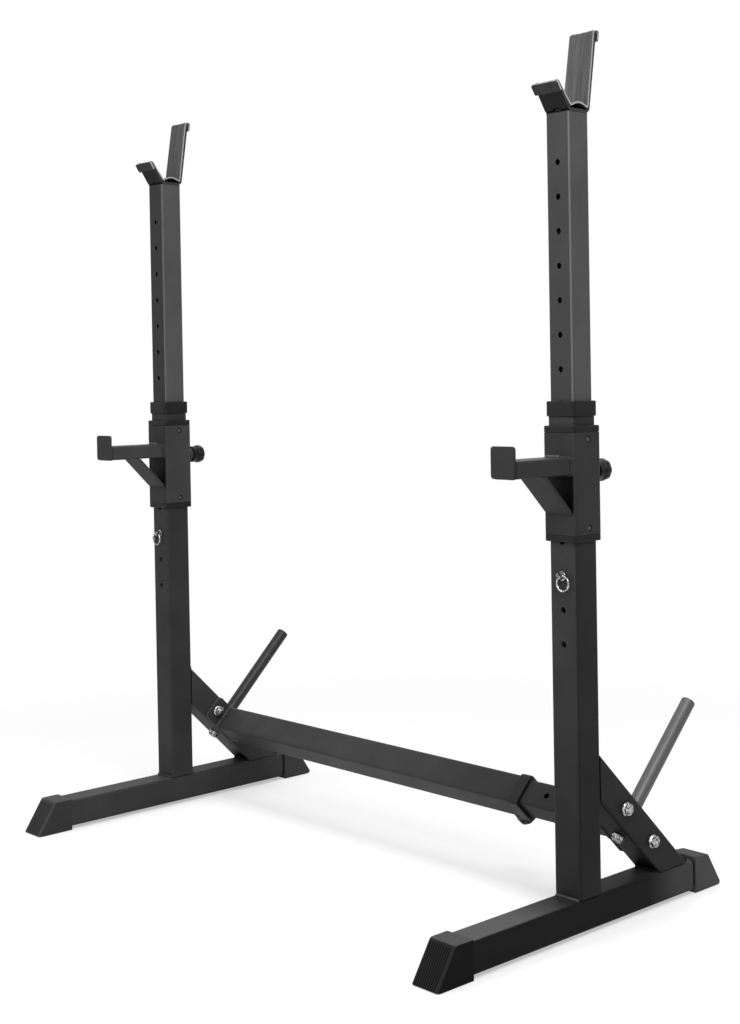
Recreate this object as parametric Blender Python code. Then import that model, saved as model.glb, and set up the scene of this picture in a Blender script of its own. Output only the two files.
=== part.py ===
# Squat rack: two telescopic uprights on floor legs, joined by a telescopic crossbar.
# Metres, +Z up. The origin is on the floor, midway between the legs' ends. The lifter stands at -Y.

import math

import bmesh
import bpy
from mathutils import Vector

# Driving dimensions, in metres
GAP = 0.0003
HALF_SPAN = 0.516
UPRIGHT_Y = -0.0040
HOLE_PITCH = 0.050
HOLE_RADIUS = 0.00475
WALL = 0.002

OUTER_TUBE = 0.050
INNER_TUBE = 0.045
SLEEVE_TUBE = 0.060
TUBE_CORNER = 0.0055
INNER_CORNER = 0.0035

SOLE_HEIGHT = 0.0060
LEG_HEIGHT = 0.0475
LEG_TOP = SOLE_HEIGHT + LEG_HEIGHT
LEG_MIDDLE = SOLE_HEIGHT + LEG_HEIGHT / 2
LEG_FRONT_END = -0.2697
LEG_REAR_END = 0.2432
FRONT_FOOT_BACK = -0.2450
FRONT_FOOT_REACH = -0.3140
FRONT_FOOT_TOP_REACH = -0.2790
FRONT_FOOT_TOP = 0.0562
TOE_CORNER = 0.0035
RIB_COUNT = 10
RIB_DEPTH = 0.0014
REAR_FOOT_START = 0.2500
REAR_FOOT_REACH = 0.3220
REAR_FOOT_TOP_REACH = 0.2845
REAR_FOOT_TOP = 0.0572
REAR_FOOT_FALL = 0.0030

OUTER_TOP = 0.771
INNER_TOP = 1.196
INNER_LENGTH = 0.810
TOP_HOLE = 1.1237
INNER_HOLES = 15
OUTER_HOLES = 7
LOWEST_OUTER_HOLE = 0.4237
COLLAR_BOTTOM = 0.7553
COLLAR_TOP = 0.7778
COLLAR_WIDTH = 0.055

SLEEVE_BOTTOM = 0.5835
SLEEVE_TOP = 0.732
BUSH_RIM = 0.0100
BUSH_SPIGOT = 0.020
BUSH_NUB_RADIUS = 0.0036
SNAP_HOLE_RADIUS = 0.0052
NUB_Y = 0.003
TOP_NUB_Z = 0.7218
BOTTOM_NUB_Z = 0.5927
PLUNGER_HEIGHT = LOWEST_OUTER_HOLE + 5 * HOLE_PITCH
LOCK_PIN_HEIGHT = LOWEST_OUTER_HOLE + 2 * HOLE_PITCH

ARM_WIDTH = 0.049
ARM_TOP = 0.6965
ARM_DEPTH = 0.0253
ARM_REACH = 0.1430
END_PLATE_WIDTH = 0.0445
END_PLATE_BOTTOM = 0.671
END_PLATE_TOP = 0.717
PLATE = 0.005
GUSSET_REACH = 0.0577
GUSSET_PLATE = 0.0045

CROSSBAR_Y = 0.1115
CROSSBAR_Z = 0.1365
BRACE_FACE = HALF_SPAN - OUTER_TUBE / 2
CROSSBAR_OUTER_END = 0.3195
CROSSBAR_COLLAR_START = 0.302
CROSSBAR_COLLAR_END = 0.3235
CROSSBAR_COLLAR_WIDTH = 0.056
CROSSBAR_PLUNGER_X = 0.2686
CROSSBAR_FIRST_HOLE = 0.3686
CROSSBAR_HOLES = 7
BAR_PLATE_LENGTH = 0.117
BAR_PLATE_WIDTH = 0.049
BOLT_OFFSET = 0.0435
BOLT_RADIUS = 0.005
BOLT_HOLE_RADIUS = 0.0053
BOLT_HEX = 0.017
BOLT_HEAD = 0.0064
NUT_HEIGHT = 0.008
WASHER_RADIUS = 0.0102
WASHER = 0.0018
PEG_RADIUS = 0.01125
PEG_LENGTH = 0.200
PEG_BORE_DEPTH = 0.022

YOKE_WIDTH = 0.045
YOKE_STEEL = 0.004
YOKE_BEND = 0.007
YOKE_FRONT_TOP = (-0.0418, 1.2331)
YOKE_FRONT_FOOT = (-0.0191, 1.1983)
YOKE_REAR_FOOT = (0.0221, 1.1983)
YOKE_REAR_TOP = (0.0395, 1.3144)
YOKE_SLOT = (0.015, 0.0127, 0.0032)
YOKE_SLOT_CENTRE = (0, -0.02585, 1.1996)
LINER_WIDTH = 0.0475
LINER = 0.0028
LINER_ARCH = 0.0060
LINER_FLOOR_LIFT = 0.0014
LIP_WIDTH = 0.0505
LIP_THICKNESS = 0.0034
FRONT_LIP_LENGTH = 0.0165
BACK_LIP_LENGTH = 0.0165
LIP_CORNER = 0.0030

BOSS_RADIUS = 0.013
BOSS_CHAMBER_RADIUS = 0.0072
BOSS_END_WALL = 0.0022
PIN_RADIUS = 0.0044
SHOULDER_RADIUS = 0.0066
SHOULDER = 0.0018
STEM_RADIUS = 0.0028
KNOB_RADIUS = 0.0170
KNOB_SKIRT_RADIUS = 0.0154
KNOB_RECESS_RADIUS = 0.0134
KNOB_RECESS = 0.0097
KNOB_LENGTH = 0.0262
KNOB_LOBES = 8
SLEEVE_BOSS = 0.018
SLEEVE_PIN_REACH = 0.0137
SLEEVE_PIN_TRAVEL = 0.009
CROSSBAR_BOSS = 0.0306
CROSSBAR_PIN_REACH = 0.010
SPRING_RADIUS = 0.0052
SPRING_WIRE = 0.0008
TURN_POINTS = 8

LOCK_PIN_HEAD_RADIUS = 0.007
LOCK_PIN_HEAD = 0.002
LOCK_PIN_EYE_Y = -0.0305
LOCK_PIN_TAIL = 0.029
EYE_RADIUS = 0.0026
RING_RADIUS = 0.0112
RING_WIRE = 0.0028
RING_ROLL = math.radians(26)
RING_STEPS = 20

ROUND_STEPS = 16
KNOB_STEPS = 24
HOLE_STEPS = 10
CORNER_STEPS = 2
TILT = math.radians(-45)
ALONG_Y = (math.radians(-90), 0, 0)
ALONG_X = (0, math.radians(90), 0)

# Colours, roughness and metallic value of each finish
FINISHES = {
    "coated_steel": ((0.115, 0.112, 0.118), 0.45, 0.35),
    "hammertone_steel": ((0.200, 0.200, 0.205), 0.40, 0.60),
    "grey_plastic": ((0.090, 0.088, 0.095), 0.55, 0.0),
    "pale_plastic": ((0.340, 0.345, 0.350), 0.45, 0.0),
    "dark_plastic": ((0.035, 0.036, 0.036), 0.40, 0.0),
    "zinc_steel": ((0.700, 0.720, 0.720), 0.28, 1.0),
    "chrome_steel": ((0.800, 0.800, 0.810), 0.12, 1.0),
    "spring_steel": ((0.450, 0.450, 0.460), 0.35, 1.0),
}


# Scene and object helpers

def clear_scene():
    for old in list(bpy.data.objects):
        bpy.data.objects.remove(old, do_unlink=True)


def finish(node, name):
    """A material of the node's own, with the finish's values."""
    colour, roughness, metallic = FINISHES[name]
    material = bpy.data.materials.new(node + "_" + name)
    material.use_nodes = True
    shader = material.node_tree.nodes["Principled BSDF"]
    shader.inputs["Base Color"].default_value = (*colour, 1.0)
    shader.inputs["Roughness"].default_value = roughness
    shader.inputs["Metallic"].default_value = metallic
    material.diffuse_color = (*colour, 1.0)
    return material


def empty(name, parent=None, location=(0, 0, 0), rotation=(0, 0, 0)):
    axis = bpy.data.objects.new(name, None)
    bpy.context.collection.objects.link(axis)
    axis.parent = parent
    axis.location = location
    axis.rotation_euler = rotation
    return axis


def place(mesh, name, parent, location=(0, 0, 0), rotation=(0, 0, 0)):
    node = bpy.data.objects.new(name, mesh)
    bpy.context.collection.objects.link(node)
    node.parent = parent
    node.location = location
    node.rotation_euler = rotation
    return node


def loft(rings, closed=False):
    """A mesh through rings of equally many points, capped at both ends or closed on itself."""
    mesh = bpy.data.meshes.new("loft")
    bm = bmesh.new()
    loops = [[bm.verts.new(point) for point in ring] for ring in rings]
    pairs = list(zip(loops, loops[1:]))
    if closed:
        pairs.append((loops[-1], loops[0]))
    for low, high in pairs:
        for i in range(len(low)):
            j = (i + 1) % len(low)
            bm.faces.new((low[i], low[j], high[j], high[i]))
    if not closed:
        bm.faces.new(loops[0])
        bm.faces.new(loops[-1])
    bmesh.ops.recalc_face_normals(bm, faces=bm.faces)
    bm.to_mesh(mesh)
    bm.free()
    return mesh


def smooth(mesh, angle=40):
    mesh.shade_smooth()
    mesh.set_sharp_from_angle(angle=math.radians(angle))
    return mesh


def node(name, mesh, coat, parent, location=(0, 0, 0), rotation=(0, 0, 0)):
    """A sub-part of the rack, with its finish."""
    made = place(smooth(mesh), name, parent, location, rotation)
    made.data.materials.append(finish(name, coat))
    return made


def combine(target, tool, operation):
    """Cuts the tool out of the target or joins it on, and leaves the tool as a hidden guide."""
    tool.hide_render = True
    tool.display_type = "WIRE"
    step = target.modifiers.new(tool.name, "BOOLEAN")
    step.operation = operation
    step.solver = "EXACT"
    step.object = tool


def cut(target, mesh, name, location=(0, 0, 0), rotation=(0, 0, 0)):
    """Cuts a shape out, placed in the target's own axes."""
    combine(target, place(mesh, name, target, location, rotation), "DIFFERENCE")


def join(target, mesh, name, location=(0, 0, 0), rotation=(0, 0, 0)):
    """Joins a shape on, placed in the target's own axes."""
    combine(target, place(mesh, name, target, location, rotation), "UNION")


# Sections and simple bodies

def square_points(half_x, half_y, radius, steps=CORNER_STEPS):
    """Points round a rectangle with arcs at its corners, anticlockwise."""
    points = []
    for corner in range(4):
        sign_x = (1, -1, -1, 1)[corner]
        sign_y = (1, 1, -1, -1)[corner]
        for step in range(steps + 1):
            angle = math.radians(90 * (corner + step / steps))
            x = sign_x * (half_x - radius) + radius * math.cos(angle)
            y = sign_y * (half_y - radius) + radius * math.sin(angle)
            points.append((x, y))
    return points


def square_ring(half, radius, z):
    return [(x, y, z) for x, y in square_points(half, half, radius)]


def circle_ring(radius, z, count=ROUND_STEPS):
    turns = [2 * math.pi * i / count for i in range(count)]
    return [(radius * math.cos(turn), radius * math.sin(turn), z) for turn in turns]


def lobed_ring(radius, depth, z):
    """A circle whose edge dips between grip lobes."""
    ring = []
    for i in range(KNOB_STEPS):
        turn = 2 * math.pi * i / KNOB_STEPS
        reach = radius - depth * (0.5 - 0.5 * math.cos(KNOB_LOBES * turn))
        ring.append((reach * math.cos(turn), reach * math.sin(turn), z))
    return ring


def hex_ring(across, z):
    """A hexagon of twelve points: its corners and the middles of its sides."""
    ring = []
    for i in range(12):
        reach = across / 2 if i % 2 else across / 2 / math.cos(math.radians(30))
        turn = math.radians(30 * i)
        ring.append((reach * math.cos(turn), reach * math.sin(turn), z))
    return ring


def box(size_x, size_y, size_z):
    """A block centred on its origin."""
    outline = [(-1, -1), (1, -1), (1, 1), (-1, 1)]
    rings = []
    for end in (-1, 1):
        rings.append([(x * size_x / 2, y * size_y / 2, end * size_z / 2) for x, y in outline])
    return loft(rings)


def tube_mesh(size_x, size_y, low, high):
    """A rectangular tube along +Z with round corners, open at both ends."""
    rings = []
    for inset, radius, ends in ((0, TUBE_CORNER, (low, high)), (WALL, INNER_CORNER, (high, low))):
        outline = square_points(size_x / 2 - inset, size_y / 2 - inset, radius)
        rings += [[(x, y, z) for x, y in outline] for z in ends]
    return loft(rings, closed=True)


def bar_mesh(size_x, size_y, low, high):
    """A solid bar along +Z with the tubes' round corners."""
    outline = square_points(size_x / 2, size_y / 2, TUBE_CORNER)
    return loft([[(x, y, z) for x, y in outline] for z in (low, high)])


def rods(centres, radius, length, axis):
    """Parallel cylinders, used to drill a row of holes."""
    mesh = bpy.data.meshes.new("rods")
    bm = bmesh.new()
    for centre in centres:
        made = bmesh.ops.create_cone(
            bm, cap_ends=True, segments=HOLE_STEPS, radius1=radius, radius2=radius, depth=length
        )
        turn = Vector((0, 0, 1)).rotation_difference(Vector(axis)).to_matrix()
        bmesh.ops.rotate(bm, verts=made["verts"], cent=(0, 0, 0), matrix=turn)
        bmesh.ops.translate(bm, verts=made["verts"], vec=centre)
    bm.to_mesh(mesh)
    bm.free()
    return mesh


def plate_mesh(half_y, half_z, thickness, radius):
    """A flat plate with round corners, square to X, centred on its origin."""
    outline = square_points(half_y, half_z, radius)
    return loft([[(x, y, z) for y, z in outline] for x in (-thickness / 2, thickness / 2)])


# Floor leg

def base_leg(side, parent):
    mesh = tube_mesh(OUTER_TUBE, LEG_HEIGHT, LEG_FRONT_END, LEG_REAR_END)
    return node(side + "_base_leg", mesh, "coated_steel", parent, (0, 0, LEG_MIDDLE), ALONG_Y)


def foot_ring(half_width, front, back, corners, ribs, z):
    """A level slice of a foot: round corners, and grooves down its slanted end."""
    front_corner, back_corner = corners
    ring = []
    for step in range(5):
        angle = math.radians(180 + 90 * step / 4)
        x = -half_width + front_corner * (1 + math.cos(angle))
        ring.append((x, front + front_corner * (1 + math.sin(angle)), z))
    ribbed = half_width - front_corner - 0.001
    for i in range(2 * RIB_COUNT + 1):
        x = -ribbed + 2 * ribbed * i / (2 * RIB_COUNT)
        ring.append((x, front + (ribs if i % 2 else 0), z))
    for step in range(5):
        angle = math.radians(270 + 90 * step / 4)
        x = half_width - front_corner * (1 - math.cos(angle))
        ring.append((x, front + front_corner * (1 + math.sin(angle)), z))
    ring.append((half_width, back - back_corner, z))
    ring.append((half_width - back_corner, back, z))
    ring.append((-half_width + back_corner, back, z))
    ring.append((-half_width, back - back_corner, z))
    return ring


def front_foot_cap(side, parent):
    """A ribbed cap that slips over the leg's front end and carries the sole."""
    top = FRONT_FOOT_TOP
    half = OUTER_TUBE / 2 + 0.0012
    corners = (TOE_CORNER, 0.0008)
    back = FRONT_FOOT_BACK
    toe = FRONT_FOOT_REACH
    instep = FRONT_FOOT_TOP_REACH
    rings = [
        foot_ring(half - 0.0005, toe + 0.001, back, corners, 0, 0),
        foot_ring(half, toe, back, corners, RIB_DEPTH, 0.001),
        foot_ring(half, instep - 0.001, back, corners, RIB_DEPTH, top - 0.002),
        foot_ring(half - 0.001, instep + 0.003, back, corners, 0, top),
    ]
    cap = node(side + "_front_foot_cap", loft(rings), "grey_plastic", parent)
    socket = bar_mesh(OUTER_TUBE + 2 * GAP, LEG_HEIGHT + 2 * GAP, LEG_FRONT_END - GAP, back + 0.020)
    cut(cap, socket, cap.name + "_socket", (0, 0, LEG_MIDDLE), ALONG_Y)
    return cap


def rear_foot_ring(half_width, front, back, radius, z, fall=0):
    """A slice of the rear foot: square at the tube, round behind, and lower there by the fall."""
    outline = [(half_width, front)]
    for first, sign in ((0, 1), (90, -1)):
        for step in range(6):
            angle = math.radians(first + 90 * step / 5)
            x = sign * (half_width - radius) + radius * math.cos(angle)
            outline.append((x, back - radius * (1 - math.sin(angle))))
    outline.append((-half_width, front))
    return [(x, y, z - fall * (y - front) / (back - front)) for x, y in outline]


def rear_foot_cap(side, parent):
    """A smooth plug with a slanted end: its spigot sits inside the leg, a groove short of the foot."""
    top = REAR_FOOT_TOP
    half = OUTER_TUBE / 2 + 0.0005
    start = REAR_FOOT_START
    heel = REAR_FOOT_REACH
    instep = REAR_FOOT_TOP_REACH
    rings = [
        rear_foot_ring(half - 0.002, start, heel - 0.0025, 0.012, 0),
        rear_foot_ring(half, start, heel, 0.014, 0.004),
        rear_foot_ring(half, start, instep + 0.001, 0.003, top - 0.002, REAR_FOOT_FALL),
        rear_foot_ring(half - 0.0012, start, instep - 0.001, 0.002, top, REAR_FOOT_FALL),
    ]
    cap = node(side + "_rear_foot_cap", loft(rings), "grey_plastic", parent)
    play = 2 * WALL + 2 * GAP
    spigot = bar_mesh(OUTER_TUBE - play, LEG_HEIGHT - play, start - 0.030, start + 0.010)
    join(cap, spigot, cap.name + "_spigot", (0, 0, LEG_MIDDLE), ALONG_Y)
    return cap


# Uprights

def hole_row(first, count, pitch=HOLE_PITCH):
    return [first + i * pitch for i in range(count)]


def outer_upright(side, parent):
    mesh = tube_mesh(OUTER_TUBE, OUTER_TUBE, LEG_TOP + GAP, OUTER_TOP)
    tube = node(side + "_outer_upright", mesh, "coated_steel", parent)
    heights = hole_row(LOWEST_OUTER_HOLE, OUTER_HOLES)
    drill = rods([(0, 0, z) for z in heights], HOLE_RADIUS, 0.08, (0, 1, 0))
    cut(tube, drill, tube.name + "_holes")
    return tube


def stepped_collar(width, low, step, high):
    """A ring round the outer tube's end, with a lip that guides the inner tube."""
    half = width / 2
    wide = OUTER_TUBE / 2 + GAP
    narrow = INNER_TUBE / 2 + GAP
    edge = 0.0016
    return loft(
        [
            square_ring(half - edge, 0.0065, low),
            square_ring(half, 0.007, low + edge),
            square_ring(half, 0.007, high - edge),
            square_ring(half - 0.3 * edge, 0.0068, high - 0.3 * edge),
            square_ring(half - edge, 0.0065, high),
            square_ring(narrow, TUBE_CORNER, high),
            square_ring(narrow, TUBE_CORNER, step),
            square_ring(wide, TUBE_CORNER, step),
            square_ring(wide, TUBE_CORNER, low),
        ],
        closed=True,
    )


def upright_collar(side, parent):
    mesh = stepped_collar(COLLAR_WIDTH, COLLAR_BOTTOM, OUTER_TOP + GAP, COLLAR_TOP)
    return node(side + "_upright_collar", mesh, "grey_plastic", parent)


def inner_upright(side, parent):
    """Its axis empty stands at the floor, so the tube is built at its real height."""
    mesh = tube_mesh(INNER_TUBE, INNER_TUBE, INNER_TOP - INNER_LENGTH, INNER_TOP)
    tube = node(side + "_inner_upright", mesh, "coated_steel", parent)
    heights = hole_row(TOP_HOLE, INNER_HOLES, -HOLE_PITCH)
    drill = rods([(0, 0, z) for z in heights], HOLE_RADIUS, 0.08, (0, 1, 0))
    cut(tube, drill, tube.name + "_holes")
    return tube


# Bar yoke

def rounded_path(corners, radius, steps=4):
    """A path of (y, z) points whose inner corners are arcs."""
    path = [Vector(corners[0])]
    for before, corner, after in zip(corners, corners[1:], corners[2:]):
        corner = Vector(corner)
        back = (Vector(before) - corner).normalized()
        ahead = (Vector(after) - corner).normalized()
        half_angle = back.angle(ahead) / 2
        reach = min(
            radius / math.tan(half_angle),
            0.45 * (Vector(before) - corner).length,
            0.45 * (Vector(after) - corner).length,
        )
        centre = corner + (back + ahead).normalized() * reach / math.cos(half_angle)
        start = corner + back * reach - centre
        end = corner + ahead * reach - centre
        for step in range(steps + 1):
            share = step / steps
            arm = start.lerp(end, share)
            path.append(centre + arm.normalized() * start.length)
    path.append(Vector(corners[-1]))
    return path


def strip_outline(path, thickness):
    """The closed outline of a strip of even thickness that follows a path."""
    sides = ([], [])
    for i, point in enumerate(path):
        before = path[max(i - 1, 0)]
        after = path[min(i + 1, len(path) - 1)]
        along = (after - before).normalized()
        across = Vector((-along.y, along.x)) * thickness / 2
        sides[0].append(point + across)
        sides[1].append(point - across)
    return sides[0] + sides[1][::-1]


def extruded(outline, width):
    """A (y, z) outline, extruded across X."""
    return loft([[(x, y, z) for y, z in outline] for x in (-width / 2, width / 2)])


def yoke_steel_path():
    corners = (YOKE_FRONT_TOP, YOKE_FRONT_FOOT, YOKE_REAR_FOOT, YOKE_REAR_TOP)
    return rounded_path(corners, YOKE_BEND)


def yoke(side, parent):
    """A bent plate, welded on the inner tube's top."""
    steel = node(
        side + "_yoke",
        extruded(strip_outline(yoke_steel_path(), YOKE_STEEL), YOKE_WIDTH),
        "coated_steel",
        parent,
    )
    cut(steel, box(*YOKE_SLOT), steel.name + "_slot", YOKE_SLOT_CENTRE)
    return steel


def flange_axes(foot, top):
    """Unit vectors up a flange and out through its face, and its top's middle."""
    up = (Vector(top) - Vector(foot)).normalized()
    outward = Vector((up.y, -up.x)) if up.x > 0 else Vector((-up.y, up.x))
    return up, outward, Vector(top)


def liner_corners(front, rear):
    """The liner's middle line: over the front flange, down, arched across, and up over the rear."""
    shift = YOKE_STEEL / 2 + GAP + LINER / 2
    front_up, front_out, front_top = front
    rear_up, rear_out, rear_top = rear
    front_in = Vector(YOKE_FRONT_FOOT) - front_out * shift
    rear_in = Vector(YOKE_REAR_FOOT) - rear_out * shift
    floor = YOKE_REAR_FOOT[1] + shift + LINER_FLOOR_LIFT
    front_corner = front_in + front_up * (floor - front_in.y) / front_up.y
    rear_corner = rear_in + rear_up * (floor - rear_in.y) / rear_up.y
    corners = [
        front_top + front_up * shift + front_out * shift,
        front_top + front_up * shift - front_out * shift,
        front_corner,
    ]
    span = rear_corner.x - front_corner.x
    for share in (0.25, 0.5, 0.75):
        rise = LINER_ARCH * math.sin(math.pi * share)
        corners.append(Vector((front_corner.x + span * share, floor + rise)))
    corners += [
        rear_corner,
        rear_top + rear_up * shift - rear_out * shift,
        rear_top + rear_up * shift + rear_out * shift,
    ]
    return corners


def add_lip(liner, flange, length, name):
    """Joins on the plate that hooks down behind a flange."""
    up, outward, top = flange
    face = YOKE_STEEL / 2 + GAP
    half = LIP_THICKNESS / 2
    middle = top + up * (face + LINER - length / 2) + outward * (face + half)
    tilt = -math.atan2(up.x, up.y)
    outline = square_points(LIP_WIDTH / 2, length / 2, LIP_CORNER)
    plate = loft([[(x, y, z) for x, z in outline] for y in (-half, half)])
    join(liner, plate, liner.name + name, (0, middle.x, middle.y), (tilt, 0, 0))


def yoke_liner(side, parent):
    """A plastic strip that guards the bar: hooked over both flanges, arched between them."""
    front = flange_axes(YOKE_FRONT_FOOT, YOKE_FRONT_TOP)
    rear = flange_axes(YOKE_REAR_FOOT, YOKE_REAR_TOP)
    path = rounded_path(liner_corners(front, rear), 0.0030, steps=3)
    mesh = extruded(strip_outline(path, LINER), LINER_WIDTH)
    liner = node(side + "_yoke_liner", mesh, "pale_plastic", parent)
    add_lip(liner, front, FRONT_LIP_LENGTH, "_front_lip")
    add_lip(liner, rear, BACK_LIP_LENGTH, "_back_lip")
    return liner


# Safety catch

def sleeve(side, parent):
    mesh = tube_mesh(SLEEVE_TUBE, SLEEVE_TUBE, SLEEVE_BOTTOM, SLEEVE_TOP)
    tube = node(side + "_catch_sleeve", mesh, "coated_steel", parent)
    pin_hole = rods([(0, 0.03, PLUNGER_HEIGHT)], HOLE_RADIUS, 0.03, (0, 1, 0))
    cut(tube, pin_hole, tube.name + "_pin_hole")
    nub_places = [(0, NUB_Y, z) for z in (TOP_NUB_Z, BOTTOM_NUB_Z)]
    snap_holes = rods(nub_places, SNAP_HOLE_RADIUS, 0.08, (1, 0, 0))
    cut(tube, snap_holes, tube.name + "_snap_holes")
    return tube


def bush_mesh(seat, direction):
    """A guide ring: the rim sits outside the sleeve's end, the spigot inside it."""
    rim = SLEEVE_TUBE / 2
    opening = OUTER_TUBE / 2 + 0.0004
    spigot = SLEEVE_TUBE / 2 - WALL - GAP
    edge = 0.0015
    start = seat + direction * GAP
    far = seat + direction * BUSH_RIM
    return loft(
        [
            square_ring(rim, TUBE_CORNER, start),
            square_ring(rim, TUBE_CORNER, far - direction * edge),
            square_ring(rim - edge, 0.005, far),
            square_ring(opening, TUBE_CORNER, far),
            square_ring(opening, TUBE_CORNER, seat - direction * BUSH_SPIGOT),
            square_ring(spigot, INNER_CORNER, seat - direction * BUSH_SPIGOT),
            square_ring(spigot, INNER_CORNER, start),
        ],
        closed=True,
    )


def sleeve_bush(side, parent, place_name, seat, direction, nub_z):
    """Two nubs snap into the sleeve's side holes and hold the bush."""
    bush = node(side + "_sleeve_bush_" + place_name, bush_mesh(seat, direction), "grey_plastic", parent)
    reach = SLEEVE_TUBE / 2 - 0.0014
    root = 0.0265
    centres = [(end * (reach + root) / 2, NUB_Y, nub_z) for end in (-1, 1)]
    nubs = rods(centres, BUSH_NUB_RADIUS, reach - root, (1, 0, 0))
    join(bush, nubs, bush.name + "_nubs")
    return bush


def catch_arm(side, parent):
    """A flat tube that reaches forward from the sleeve and catches the bar."""
    half_height = ARM_DEPTH / 2
    start = SLEEVE_TUBE / 2 + GAP
    rings = []
    for y, inset, radius in (
        (-start, 0, 0.003),
        (-ARM_REACH, 0, 0.003),
        (-ARM_REACH, WALL, 0.0015),
        (-start, WALL, 0.0015),
    ):
        outline = square_points(ARM_WIDTH / 2 - inset, half_height - inset, radius, steps=2)
        rings.append([(x, y, z) for x, z in outline])
    mesh = loft(rings, closed=True)
    return node(side + "_catch_arm", mesh, "coated_steel", parent, (0, 0, ARM_TOP - half_height))


def arm_end_plate(side, parent):
    """The upright plate that stops the bar from rolling off the arm."""
    half_height = (END_PLATE_TOP - END_PLATE_BOTTOM) / 2
    mesh = plate_mesh(END_PLATE_WIDTH / 2, half_height, PLATE, 0.005)
    centre = (0, -ARM_REACH - GAP - PLATE / 2, END_PLATE_BOTTOM + half_height)
    turn = (0, 0, math.radians(90))
    return node(side + "_arm_end_plate", mesh, "coated_steel", parent, centre, turn)


def arm_gusset(side, parent):
    """A flat strip at 45 degrees that props the arm on the sleeve."""
    top = ARM_TOP - ARM_DEPTH - GAP
    face = -SLEEVE_TUBE / 2 - GAP
    skew = GUSSET_PLATE * math.sqrt(2)
    outline = [
        (face - GUSSET_REACH, top),
        (face, top - GUSSET_REACH),
        (face, top - GUSSET_REACH + skew),
        (face - GUSSET_REACH + skew, top),
    ]
    mesh = extruded([Vector(point) for point in outline], ARM_WIDTH)
    return node(side + "_arm_gusset", mesh, "coated_steel", parent)


# Spring plungers, built along +Z from the face that carries the boss

def plunger_boss(name, length, parent, location=(0, 0, 0)):
    chamber_end = length - BOSS_END_WALL
    mesh = loft(
        [
            circle_ring(BOSS_CHAMBER_RADIUS, GAP),
            circle_ring(BOSS_CHAMBER_RADIUS, chamber_end),
            circle_ring(STEM_RADIUS + 0.0004, chamber_end),
            circle_ring(STEM_RADIUS + 0.0004, length),
            circle_ring(BOSS_RADIUS - 0.0008, length),
            circle_ring(BOSS_RADIUS, length - 0.0008),
            circle_ring(BOSS_RADIUS, GAP),
        ],
        closed=True,
    )
    return node(name, mesh, "coated_steel", parent, location)


def plunger_pin(name, reach, boss_length, drawn, parent):
    """The locking pin: tip, shoulder that the spring pushes on, and stem."""
    shoulder = 0.001
    end = boss_length + 0.001 + 0.006
    mesh = loft(
        [
            circle_ring(PIN_RADIUS - 0.0012, drawn - reach),
            circle_ring(PIN_RADIUS, drawn - reach + 0.0015),
            circle_ring(PIN_RADIUS, drawn + shoulder),
            circle_ring(SHOULDER_RADIUS, drawn + shoulder),
            circle_ring(SHOULDER_RADIUS, drawn + shoulder + SHOULDER),
            circle_ring(STEM_RADIUS, drawn + shoulder + SHOULDER),
            circle_ring(STEM_RADIUS, drawn + end),
        ]
    )
    return node(name, mesh, "zinc_steel", parent)


def plunger_knob(name, boss_length, drawn, parent):
    """A fluted knob on the stem, with a skirt that slips over the boss."""
    floor = drawn + boss_length + 0.001
    rim = floor - KNOB_RECESS
    end = rim + KNOB_LENGTH
    bore = STEM_RADIUS + GAP
    mesh = loft(
        [
            circle_ring(bore, floor + 0.0063, KNOB_STEPS),
            circle_ring(bore, floor, KNOB_STEPS),
            circle_ring(KNOB_RECESS_RADIUS, floor, KNOB_STEPS),
            circle_ring(KNOB_RECESS_RADIUS, rim, KNOB_STEPS),
            circle_ring(KNOB_SKIRT_RADIUS - 0.0003, rim, KNOB_STEPS),
            circle_ring(KNOB_SKIRT_RADIUS, rim + 0.0105, KNOB_STEPS),
            lobed_ring(KNOB_RADIUS, 0.0007, rim + 0.0125),
            lobed_ring(KNOB_RADIUS, 0.0009, end - 0.0050),
            lobed_ring(KNOB_RADIUS - 0.0016, 0.0006, end - 0.0019),
            circle_ring(KNOB_RADIUS - 0.0050, end - 0.0005, KNOB_STEPS),
            circle_ring(KNOB_RADIUS - 0.0100, end, KNOB_STEPS),
        ]
    )
    return node(name, mesh, "dark_plastic", parent)


def helix_points(low, high, turns):
    count = round(turns * TURN_POINTS)
    points = []
    for i in range(count + 1):
        turn = 2 * math.pi * i / TURN_POINTS
        height = low + (high - low) * i / count
        points.append(Vector((SPRING_RADIUS * math.cos(turn), SPRING_RADIUS * math.sin(turn), height)))
    return points


def plunger_spring(name, low, high, turns, parent):
    """One unbroken wire, wound round the stem between shoulder and end wall."""
    clearance = SPRING_WIRE / 2 + 0.0002
    path = helix_points(low + clearance, high - clearance, turns)
    rings = []
    for i, point in enumerate(path):
        along = (path[min(i + 1, len(path) - 1)] - path[max(i - 1, 0)]).normalized()
        outward = Vector((point.x, point.y, 0)).normalized()
        upward = along.cross(outward).normalized()
        ring = []
        for step in range(5):
            turn = math.radians(72 * step)
            offset = outward * math.cos(turn) + upward * math.sin(turn)
            ring.append(point + offset * SPRING_WIRE / 2)
        rings.append(ring)
    least = min((b - a).length for a, b in zip(path, path[TURN_POINTS:])) - SPRING_WIRE
    print(name, "least gap between turns", round(least * 1000, 2), "mm")
    return node(name, loft(rings), "spring_steel", parent)


# Locking pin with its pull ring

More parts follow.
